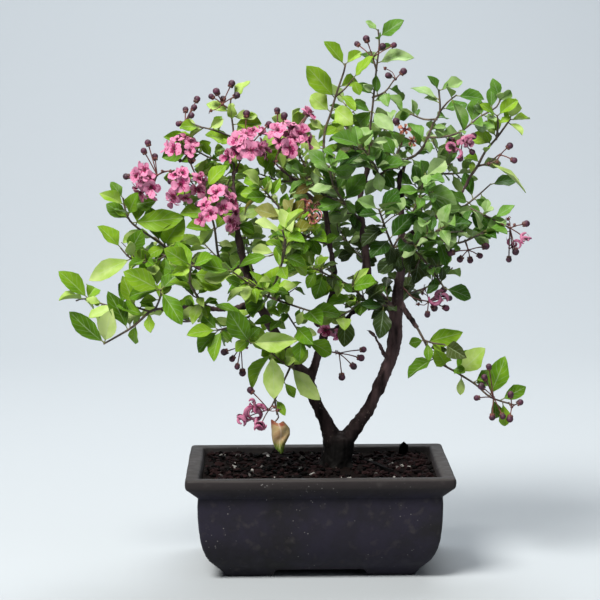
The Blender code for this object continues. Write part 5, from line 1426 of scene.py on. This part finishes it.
def marked_sheet(across, along):
    """A flat square sheet, from -1 to 1 each way, with a UV map across and along it."""
    bm = bmesh.new()
    bmesh.ops.create_grid(bm, x_segments=across, y_segments=along, size=1)
    layer = uv_layer(bm, "leaf")
    for face in bm.faces:
        for loop in face.loops:
            loop[layer].uv = ((loop.vert.co.x + 1) / 2, (loop.vert.co.y + 1) / 2)
    return bm


def thickened(bm, thickness):
    """Gives a sheet its other face and its edge."""
    bmesh.ops.solidify(bm, geom=bm.faces[:], thickness=thickness)
    bmesh.ops.recalc_face_normals(bm, faces=bm.faces)


# The blade of a leaf, flat, one unit long and two wide, whose lower face is marked by its material
leaf_bm = marked_sheet(4, 7)
for vert in leaf_bm.verts:
    v = 0.5 * (vert.co.y + 1)
    v = 0.35 * v + 0.65 * 0.5 * (1 - math.cos(math.pi * v))
    vert.co = Vector((vert.co.x * max(leaf_outline(v), 0.012), v, 0))
bmesh.ops.remove_doubles(leaf_bm, verts=leaf_bm.verts, dist=0.0001)
thickened(leaf_bm, 1.0)
for leaf_face in leaf_bm.faces:
    leaf_face.material_index = 1 if leaf_face.normal.z < -0.5 else 0
leaf_form = mesh_of("leaf_form", leaf_bm)


def nearness(tip, x, z, wide, high):
    """How near, from 0 to 1, a place in the crown is to the middle of a patch of it."""
    return math.exp(-((tip.x - x) / wide) ** 2 - ((tip.z - z) / high) ** 2)


def leaf_tone(tip, draw):
    """How light a leaf is, and its age: dusky painted shade in the shaded heart, some rusty behind the
    blooms.
    """
    # Painted shade: the crown shades its heart, so leaves near it are drawn darker and most of them get the
    # dusky painted shade colour
    heart = nearness(tip, 52, 218, 38, 40)
    shoulder = nearness(tip, -125, 292, 30, 22)
    apex = min(max((tip.z - 325) / 30, 0), 0.35)
    light = 0.98 * draw.random() ** (1 + 1.8 * heart) * (1 - 0.45 * shoulder)
    light += (0.98 - light) * apex
    in_painted_shade = draw.random() < 0.9 * heart
    rusty = draw.random() < 0.4 * nearness(tip, -22, 288, 34, 20)
    return light + in_painted_shade, 0.97 if rusty else 0.9 * draw.random()


def put_leaf(whole, foot, heading, face, size, droop, draw):
    """One leaf on its short stalk, folded, waved, twisted and bent down along its length."""
    length, width = size
    side = face.cross(heading).normalized()
    up = heading.cross(side).normalized()
    stalk = min(0.14 * length, STALK_LIMIT)
    fold = draw.uniform(*LEAF_FOLD)
    wave, phase = draw.uniform(*LEAF_WAVE), draw.uniform(0, 6.3)
    sway, twist = draw.uniform(*LEAF_SWAY), draw.uniform(*LEAF_TWIST)
    tip_curl, ragged = draw.uniform(*TIP_CURL), draw.uniform(*LEAF_RAGGED)
    light, age = leaf_tone(foot + heading * 0.7 * length, draw)
    marks = uv_layer(whole, "tone")
    verts, faces = stamped(whole, leaf_form)
    for vert in verts:
        x, v, z = vert.co
        along = stalk + v * (length - stalk)
        across = x * width / 2 * (1 + ragged * math.sin(11 * v + 2 * phase + x))
        lift = fold * abs(across) + wave * width * abs(x) * math.sin(9 * v + phase + (1.5 if x > 0 else 0))
        lift += z * LEAF_THICKNESS * (1.5 - abs(x))
        cos, sin = math.cos(twist * v), math.sin(twist * v)
        across, lift = across * cos - lift * sin, across * sin + lift * cos
        lift -= droop * (along / length) ** 2 * length + tip_curl * v ** 3 * length
        vert.co = foot + heading * along + side * (across + sway * length * v * (1 - v)) + up * lift
    for leaf_face in faces:
        under = leaf_face.material_index
        leaf_face.material_index = 0
        for loop in leaf_face.loops:
            loop[marks].uv = (light, age + under)
    end = foot + heading * (stalk + 0.05 * length) - up * droop * 0.03 * length
    add_to(whole, swept([foot, foot.lerp(end, 0.5), end], LEAF_STALK, 5), STALK_INDEX)


def leaf_look(name, colours):
    """Thin waxy leaf that lets light through: pale midrib and side veins, a paler back, its own tone, and
    painted shade in the crown's shaded heart.
    """
    paint = Paint(name)
    maths, blend = paint.maths, paint.blend
    _, across, along = paint.map_of("leaf")
    _, light, age = paint.map_of("tone")
    blots = paint.blots(110, 3)
    # Painted shade: a light value above 1 marks a leaf of the shaded heart, which is drawn in the dusky
    # painted shade colour
    in_painted_shade = maths("GREATER_THAN", light, 0.99)
    light = maths("SUBTRACT", light, in_painted_shade)
    level = maths("ADD", maths("MULTIPLY", light, 0.66), maths("MULTIPLY", blots, 0.50))
    places = [0.12 + 0.80 * i / (len(colours) - 1) for i in range(len(colours))]
    base = paint.ramp(level, *zip(places, colours))
    under = maths("GREATER_THAN", age, 1.0)
    rusty = maths("GREATER_THAN", maths("SUBTRACT", age, under), 0.955)
    base = blend(maths("MULTIPLY", rusty, 0.6), base, LEAF_RUST)
    base = blend(maths("MULTIPLY", under, 0.42), base, LEAF_BACK)
    # Painted shade on the leaves of the shaded heart
    base = blend(maths("MULTIPLY", in_painted_shade, 0.88), base, LEAF_SHADE)
    off = maths("ABSOLUTE", maths("SUBTRACT", across, 0.5))
    slant = maths("SUBTRACT", along, maths("MULTIPLY", off, 0.55))
    comb = maths("ABSOLUTE", maths("SINE", maths("MULTIPLY", slant, 22.0)))
    side_vein = maths("MULTIPLY", maths("GREATER_THAN", comb, 0.975), 0.35)
    midrib = maths("LESS_THAN", off, maths("SUBTRACT", 0.035, maths("MULTIPLY", along, 0.018)))
    vein = maths("MAXIMUM", side_vein, maths("MULTIPLY", midrib, 0.75))
    pale = tuple(0.30 + 0.6 * c for c in colours[-2][:3]) + (1,)
    veined = blend(maths("MULTIPLY", vein, 0.55), base, pale)
    paint.coat(veined, blots, 0.34, 0.50, specular=0.13)
    paint.relief(maths("SUBTRACT", blots, vein), 0.4, 0.0004)
    glow = paint.add("BsdfTranslucent", {"Color": blend(0.4, veined, LEAF_GLOW)}).outputs["BSDF"]
    thin = paint.add("MixShader", {"Fac": THROUGH_LIGHT, 1: paint.shader.outputs["BSDF"], 2: glow})
    paint.feed(paint.tree.nodes["Material Output"], {"Surface": thin.outputs["Shader"]})
    return paint.look


def twig_look(name, dark, light):
    """Young skin between two colours, finely grained."""
    paint = Paint(name)
    grain = paint.blots(260, 4)
    paint.coat(paint.ramp(grain, (0.35, dark), (0.68, light)), grain, 0.48, 0.72)
    paint.relief(grain, 0.5, 0.0004)
    return paint.look


def grow_side_twigs(name):
    """Short twigs off the main ones, which carry the smaller leaves inside the crown."""
    draw = random.Random(f"{name} side {SEED}")
    for stem in list(plant.stems[name]):
        distance = draw.uniform(6, 12)
        while distance < stem.length - 3:
            foot, along, side, other = stem.at(distance)
            out = (around(side, other, draw.uniform(0, math.tau)) + 0.7 * along + 0.3 * UP).normalized()
            reach = draw.uniform(10, 20)
            middle = foot + 0.5 * reach * out + shaken(draw, 1.5)
            twig = Stem([foot, middle, foot + reach * out], [0.65, 0.55, 0.45], 3)
            outer = Stem([foot + 3 * out, foot + reach * out], [0.6, 0.6], 3)
            if not (twig.points[-1].y < CROWN_FRONT + 8 or in_clearing(twig.points[-1])
                    or plant.blocked(name, twig.shape(CLEAR))
                    or plant.blocked(name, outer.shape(), ("stem", "leaf", "bloom"))):
                plant.add_stem(name, twig)
            distance += draw.uniform(7, 13)


def grow_more_leaves(name):
    """Smaller leaves that fill each twig between its larger pairs."""
    length = SPRAYS[name][1]
    airy = name in AIRY_SPRAYS
    draw = random.Random(f"{name} more {SEED}")
    for stem in plant.stems[name]:
        distance = 4.0
        while distance < stem.length - 1:
            foot, along, side, other = stem.at(distance)
            direction = (around(side, other, draw.uniform(0, math.tau)) + 0.5 * along).normalized()
            normal = squared(0.8 * UP + to_light(foot) * draw.uniform(0.4, 1.4), direction)
            reach = length * (draw.uniform(0.55, 1.0) if airy else draw.uniform(0.42, 0.92))
            tip = foot + direction * reach
            if tip.y > CROWN_FRONT and not in_clearing(tip) and not in_clearing(foot.lerp(tip, 0.6)):
                width = LEAF_ASPECT * reach * draw.uniform(0.72, 1.0)
                try_leaf(plant, name, foot, direction, normal, (reach, width), draw)
            distance += draw.uniform(0.10, 0.20) * length * (3 if airy else 1)


def fill_place(x, z, radius):
    """Covers a place in the front of the crown with a few leaves from the twigs round it."""
    draw = random.Random(f"{x} {z}")
    ways = []
    for name in SPRAYS:
        for stem in plant.stems[name]:
            for step in range(1, int(stem.length / 3)):
                foot = stem.at(3.0 * step)[0]
                pace = (foot.y - VIEW_FROM.y) / -VIEW_FROM.y
                goal = VIEW_FROM + (Vector((x, 0, z)) - VIEW_FROM) * pace
                away = (goal - foot).length
                if 3 < away < 24:
                    rank = abs(away - radius) + 0.05 * foot.y + draw.uniform(0, 4)
                    ways.append((rank, name, foot, goal, away))
    grown = 0
    for _, name, foot, goal, away in sorted(ways, key=lambda way: way[0])[:40]:
        heading = (goal - foot).normalized() + shaken(draw, 0.25)
        heading.normalize()
        normal = squared(FRONT + 0.5 * UP + shaken(draw, 0.5), heading)
        reach = min(max(1.45 * away, 13), 1.15 * SPRAYS[name][1])
        before = len(plant.taken)
        try_leaf(plant, name, foot, heading, normal, (reach, LEAF_ASPECT * reach), draw)
        grown += len(plant.taken) > before
        if grown == 3:
            return


leaf_looks = {name: leaf_look(name, colours) for name, colours in LEAF_TONES.items()}
young_bark = twig_look("young_bark", *YOUNG_BARK)
green_stalk = twig_look("green_stalk", *GREEN_STALK)
thin_places = [read_place(across, down, round(PIXEL_SIZE * reach + 1)) for across, down, reach in THIN_READ]
thin_places += THIN_MORE + [read_place(*spot, LATER_RADIUS) for spot in THIN_READ_LATER] + THIN_LAST
for place in thin_places:
    fill_place(*place)
CLEARINGS.extend(SMALL_GAPS + [read_place(*gap) for gap in GAPS_READ])
for name in SPRAYS:
    if name not in AIRY_SPRAYS:
        grow_side_twigs(name)
for name in SPRAYS:
    grow_more_leaves(name)
for name in SPRAYS:
    draw = random.Random(f"{name} form {SEED}")
    spray_bm = bmesh.new()
    for kind, *facts in plant.made[name]:
        if kind == "leaf":
            put_leaf(spray_bm, *facts, draw)
            continue
        stem = facts[0]
        points, radii = smoothed(stem.points, stem.radii, 4.0)
        points[0] -= stem.ways[0] * 1.3
        if kind == "stem":
            radii = [radius * (1 - 0.35 * (i / (len(radii) - 1))) for i, radius in enumerate(radii)]
        add_to(spray_bm, swept(points, radii, 6), TWIG_INDEX)
    leaf, slot = ("deep_leaf", "leaf_deep") if name in DEEP_SPRAYS else ("fresh_leaf", "leaf_green")
    looks = [leaf_looks[leaf], green_stalk, young_bark]
    piece_of(f"{name}_spray", carried(spray_bm, crease=LEAF_CREASE), looks, slot, name)


# The withered leaf
# One dead leaf still hangs from the lowest spray: brown and red, folded forward on itself like a pouch,
# open and broad at its top and drawn in to a curled tip.

DRY_LEAF = [(0.15, 0.26, 0.03, 1), (0.25, 0.225, 0.075, 1), (0.40, 0.29, 0.15, 1), (0.30, 0.08, 0.05, 1)]


def put_pouch(whole, foot, heading, face, length, width):
    """The folded blade and its bent stalk."""
    side = face.cross(heading).normalized()
    face = heading.cross(side).normalized()
    sheet = marked_sheet(14, 20)
    marks = uv_layer(sheet, "tone")
    for patch in sheet.faces:
        for loop in patch.loops:
            v = 0.5 * (loop.vert.co.y + 1)
            loop[marks].uv = (0.95 if v < 0.10 else 0.62 - 2.4 * max(v - 0.52, 0), 0.1)
    for vert in sheet.verts:
        u, v = vert.co.x, 0.5 * (vert.co.y + 1)
        half = 0.56 * width * (0.75 + 0.25 * min(v / 0.2, 1)) * (1 - max(v - 0.42, 0) / 0.62) ** 0.7
        ripple = 0.13 * width * math.sin(9 * v + 4 * u) * (0.3 + v)
        along = length * (0.27 + 0.79 * v) + (1.1 * math.cos(4.5 * u) + 1.8 * u) * (1 - v)
        vert.co = (foot + heading * along + side * (half * math.sin(1.3 * u) + 1.3 * math.sin(6 * v))
                   + face * (0.7 * half * math.cos(1.9 * u) + ripple))
    thickened(sheet, 0.4)
    add_to(whole, sheet)
    stalk = [foot, foot + heading * 0.16 * length + side, foot + heading * 0.3 * length - side * 0.3 * width]
    put_stem(whole, stalk, [0.6, 0.6, 0.7], 2.0, 6, 1)


_, foot, heading, face, size, _ = next(made for made in plant.made["dried_leaf"] if made[0] == "leaf")
dried_bm = bmesh.new()
put_pouch(dried_bm, foot, heading, face, *size)
for kind, *facts in plant.made["dried_leaf"]:
    if kind == "stem":
        add_to(dried_bm, swept(facts[0].points, [0.6, 0.5], 6), 1)
dry = leaf_look("dry_leaf", DRY_LEAF)
dried_mesh = carried(dried_bm, crease=LEAF_CREASE)
piece_of("withered_leaf", dried_mesh, [dry, young_bark], "dry_leaf", "dried_leaf")


# The umbels
# Small clusters spring from the leaf axils on thin reddish stalks: open flowers of five clawed, crinkled
# pink petals round a ring of dark red anthers, and round purple-red buds, each in five sepals with glands.

# Colours from a petal's claw to its edge
PETAL_TONES = {
    "petal": [(0.038, 0.001, 0.010, 1), (0.31, 0.022, 0.108, 1), (0.57, 0.215, 0.35, 1)],
    "mauve_petal": [(0.040, 0.004, 0.013, 1), (0.125, 0.024, 0.052, 1), (0.40, 0.17, 0.25, 1)],
    "rusty_petal": [(0.060, 0.008, 0.006, 1), (0.17, 0.042, 0.022, 1), (0.40, 0.19, 0.12, 1)],
}
PETAL_VEIN = (0.36, 0.04, 0.16, 1)
BUD_SKIN = [(0.014, 0.0030, 0.010, 1), (0.085, 0.014, 0.042, 1)]
RED_STALK = [(0.055, 0.014, 0.014, 1), (0.17, 0.055, 0.040, 1)]
ANTHER = [(0.030, 0.003, 0.010, 1), (0.16, 0.030, 0.040, 1)]
SKIN_INDEX, RED_INDEX, ANTHER_INDEX = 1, 2, 3
SEPAL_SHAPE = (0.30, 0.42, 0.62)
# Stalks that have lost their flower, in an umbel in flower, in one in bud and in the one that is spent
SPENT_IN_FLOWER = 6
SPENT_IN_BUD = 2
SPENT_IN_SPENT = 16
# The ring of withered petals that hangs at the lower left: their number and its middle
WREATH_PETALS = 6
WREATH_AT = Vector((-49.5, -31.5, 124.5))
# Umbels past their best: the share of its width that each petal keeps, how far it curls, and its colours
WITHERED = {
    "umbel_spent": (0.42, 1.5, "rusty_petal"), "umbel_back_right": (0.45, 0.9, "rusty_petal"),
    "umbel_right": (0.75, 0.96, "mauve_petal"),
    "umbel_hanging": (0.75, 1.2, "mauve_petal"), "umbel_low": (0.80, 0.6, "petal"),
    "umbel_right_mid": (0.50, 1.0, "mauve_petal"), "umbel_far_right": (0.35, 1.2, "mauve_petal"),
}

# A petal's form: a crinkled fan on a narrow claw, one unit long
petal_bm = marked_sheet(4, 4)
for vert in petal_bm.verts:
    x, v = vert.co.x, 0.5 * (vert.co.y + 1)
    wide = 0.08 + 0.36 * min(max((v - 0.15) / 0.5, 0), 1) ** 0.8 * (1 - 0.22 * max(v - 0.75, 0) / 0.25)
    vert.co = Vector((x * wide, v * (1 - 0.20 * x * x * v), 0.10 * math.sin(7.0 * x) * max(v - 0.3, 0)))
thickened(petal_bm, 0.045)
petal_form = mesh_of("petal_form", petal_bm)


def put_flower(whole, foot, spot, facing, radius, turn, draw, kept=1.0, wilt=0.0):
    """Five petals, the stamens and the calyx at the end of a stalk; wilted petals curl back."""
    side = facing.orthogonal().normalized()
    other = facing.cross(side)
    marks = uv_layer(whole, "tone")
    tone = draw.random()
    for petal in range(5):
        out = around(side, other, turn + math.radians(72 * petal) + draw.uniform(-0.16, 0.16))
        across = facing.cross(out)
        cup = draw.uniform(-0.15, 1.0)
        curl = draw.uniform(0.0, 0.6) + wilt * draw.uniform(-0.4, 1.0)
        reach = radius * draw.uniform(0.68, 1.0)
        broad = kept * draw.uniform(0.85, 1.15)
        verts, faces = stamped(whole, petal_form)
        for vert in verts:
            x, v, z = vert.co
            crinkle = 0.08 * math.sin(13 * x + 6 * v + petal) * v
            lift = cup * v + 0.20 * abs(x) * v + crinkle + z - curl * v ** 3
            vert.co = spot + reach * (out * v * (1 - 0.3 * wilt * v * v) + across * x * broad + facing * lift)
        for petal_face in faces:
            for loop in petal_face.loops:
                loop[marks].uv = (tone, draw.random())
    for stamen in range(10):
        out = around(side, other, turn + math.radians(36 * stamen))
        tip = spot + out * 0.12 * radius + facing * 0.26 * radius
        add_to(whole, swept([spot, tip], [0.16, 0.12], 4), ANTHER_INDEX)
        put_ball(whole, Matrix.Translation(tip), 0.34, ANTHER_INDEX)
    put_calyx(whole, spot - facing * 0.5, facing, 0.24 * radius, turn)
    put_stalk(whole, foot, spot - facing * 1.0)


def put_calyx(whole, centre, facing, radius, turn):
    """Five small sepals, each with a pair of glands as one swelling, round the base of a bloom."""
    side = facing.orthogonal().normalized()
    other = facing.cross(side)
    size = Matrix.Diagonal((*[share * radius for share in SEPAL_SHAPE], 1))
    for sepal in range(5):
        out = around(side, other, turn + math.radians(72 * sepal + 36))
        spot = centre + out * radius * 0.62 - facing * 0.1 * radius
        turned = Matrix((out, facing.cross(out), facing)).transposed().to_4x4()
        put_ball(whole, Matrix.Translation(spot) @ turned @ size, look=RED_INDEX)


def put_stalk(whole, foot, end):
    """The stalk of a bloom, arched a little upwards."""
    middle = foot.lerp(end, 0.5) + UP * 0.4
    put_stem(whole, [foot, middle, end], [0.52, 0.46, 0.56], 2.5, 5, RED_INDEX)


def put_bud(whole, foot, spot, facing, radius, turn, draw):
    """A round bud with five lobes, its sepals and its stalk."""
    along = (spot - foot).normalized()
    turned = along.to_track_quat("Z", "Y").to_matrix().to_4x4()
    ball = bmesh.new()
    grown = radius * draw.uniform(0.76, 0.96)
    bmesh.ops.create_icosphere(ball, subdivisions=2, radius=grown)
    for vert in ball.verts:
        angle = math.atan2(vert.co.y, vert.co.x)
        vert.co *= 1 + 0.05 * math.cos(5 * angle) * (1 - abs(vert.co.z) / grown)
    bmesh.ops.transform(ball, matrix=Matrix.Translation(spot) @ turned, verts=ball.verts)
    add_to(whole, ball, SKIN_INDEX)
    put_calyx(whole, spot - along * 0.62 * grown, along, 0.95 * grown, turn)
    put_stalk(whole, foot, spot - along * 0.8 * grown)


def put_spent(whole, name, hub, draw):
    """A curled stalk that has lost its petals and still holds its calyx, where there is room for it."""
    heading = Vector((draw.uniform(-1, 1), draw.uniform(-1.2, 0.4), draw.uniform(-0.6, 1))).normalized()
    end = hub + heading * draw.uniform(6, 12)
    if plant.blocked(name, bud(hub, end, 1.6, 0, CLEAR)):
        return
    if plant.blocked(name, bud(hub, end, 1.6, 0), ("bloom", "leaf")):
        return
    bend = heading.orthogonal().normalized() * draw.uniform(1.0, 2.5)
    points, radii = smoothed([hub, hub.lerp(end, 0.5) + bend, end], [0.45, 0.35, 0.4], 2.0)
    add_to(whole, swept(points, radii, 5), RED_INDEX)
    put_calyx(whole, end, (end - points[-2]).normalized(), 1.7, draw.uniform(0, 6))
    for _ in range(2):
        loose = shaken(draw, 1) * 1.6
        route = [end, end + heading * 1.4 + loose * 0.4, end + heading * 1.8 + loose,
                 end + heading * 0.6 + loose * 1.5]
        put_stem(whole, route, [0.38, 0.34, 0.28, 0.2], 1.0, 4, RED_INDEX)


def put_ribbon(whole, centre, radius, thick, draw):
    """A long shrivelled petal that curls round on itself."""
    axis = Vector((draw.uniform(-0.6, 0.6), -1, draw.uniform(-0.6, 0.6))).normalized()
    arm = axis.orthogonal().normalized() * radius
    start, sweep_angle = draw.uniform(0, math.tau), draw.uniform(2.2, 4.4)
    turns = [Matrix.Rotation(start + sweep_angle * i / 9, 3, axis) for i in range(10)]
    points = [centre + turn @ arm * (1 - 0.05 * i) + axis * 0.22 * i for i, turn in enumerate(turns)]
    radii = [0.3 + thick * math.sin(math.pi * (i + 0.5) / 10) for i in range(10)]
    places = uv_layer(whole, "leaf")
    marks = uv_layer(whole, "tone")
    for vert in add_to(whole, swept(points, radii, 6)):
        shade = draw.uniform(0.35, 0.95)
        for loop in vert.link_loops:
            loop[places].uv = (0.5, shade)
            loop[marks].uv = (0.5, shade)


def crowded(name, draw):
    """The flowers tucked between an umbel's open ones, a little behind them and turned away."""
    tucked = []
    flowers = [facts for kind, *facts in plant.made[name] if kind == "flower"]
    for foot, spot, facing, radius, turn in 2 * flowers:
        way = Matrix.Rotation(draw.uniform(0, math.tau), 3, facing) @ facing.orthogonal().normalized()
        place = spot + 0.9 * radius * way - 0.25 * radius * facing
        if not plant.blocked(name, bud(foot, place, 0.3 * radius, 0, CLEAR)):
            tucked.append((foot, place, (facing + 0.8 * way).normalized(), 0.8 * radius, draw.uniform(0, 6)))
    return tucked


def petal_look(name):
    """Thin petal, dark at the claw and paler towards its crinkled edge, with fine veins that fan out."""
    paint = Paint(name)
    place, _, along = paint.map_of("leaf")
    _, _, own = paint.map_of("tone")
    blots = paint.blots(240)
    level = paint.maths("MULTIPLY_ADD", along, 0.55, paint.maths("MULTIPLY_ADD", own, 0.40, blots))
    shade = paint.ramp(level, *zip((0.50, 0.84, 1.0), PETAL_TONES[name]))
    waves = paint.add("TexWave", {"Vector": place, "Scale": 2.2, "Distortion": 1.5}).outputs["Fac"]
    veined = paint.blend(paint.graded(waves, 0.75, 1, 0, 0.35), shade, PETAL_VEIN)
    paint.coat(veined, blots, 0.45, 0.70, specular=0.12)
    paint.relief(waves, 0.4, 0.0003)
    return paint.look


petal_looks = {name: petal_look(name) for name in PETAL_TONES}
bloom_looks = [
    twig_look("bud_skin", *BUD_SKIN), twig_look("red_stalk", *RED_STALK), twig_look("anther", *ANTHER),
]
for name in UMBELS:
    draw = random.Random(f"{name} form {SEED}")
    umbel_bm = bmesh.new()
    kept, wilt, colours = WITHERED.get(name, (1.0, 0.0, "petal"))
    in_flower = bool(UMBELS[name][3])
    hub = next(facts[0] for kind, *facts in plant.made[name] if kind == "knot")
    spent = SPENT_IN_FLOWER if in_flower else SPENT_IN_BUD
    for _ in range(SPENT_IN_SPENT if name == "umbel_spent" else spent):
        put_spent(umbel_bm, name, hub, draw)
    for _ in range(WREATH_PETALS if name == "umbel_hanging" else 0):
        put_ribbon(umbel_bm, WREATH_AT, draw.uniform(5.5, 8.0), draw.uniform(0.5, 1.1), draw)
    for facts in [] if name in WITHERED else crowded(name, draw):
        put_flower(umbel_bm, *facts, draw)
    for kind, *facts in plant.made[name]:
        if kind == "flower":
            put_flower(umbel_bm, *facts, draw, kept, wilt)
            _, spot, _, radius, _ = facts
            for _ in range(3 if wilt > 0.95 else 0):
                loose = shaken(draw, 1) * 0.5 * radius
                reach = draw.uniform(0.35, 0.75) * radius
                thick = (0.055 if name == "umbel_spent" else 0.25) * reach
                put_ribbon(umbel_bm, spot + loose, reach, thick, draw)
        elif kind == "bud":
            put_bud(umbel_bm, *facts, draw)
        elif kind == "knot":
            put_ball(umbel_bm, Matrix.Translation(facts[0]), 1.3, RED_INDEX)
        else:
            stem = facts[0]
            points, radii = smoothed(stem.points, [0.75 * radius for radius in stem.radii], STEM_PACE)
            points[0] -= stem.ways[0] * 1.2
            add_to(umbel_bm, swept(points, radii, 6), RED_INDEX)
    ending, slot = ("blooms", "bloom_pink") if in_flower else ("cluster", "bud_purple")
    looks = [petal_looks[colours]] + bloom_looks
    piece_of(f"{name}_{ending}", carried(umbel_bm, crease=LEAF_CREASE), looks, slot, name)
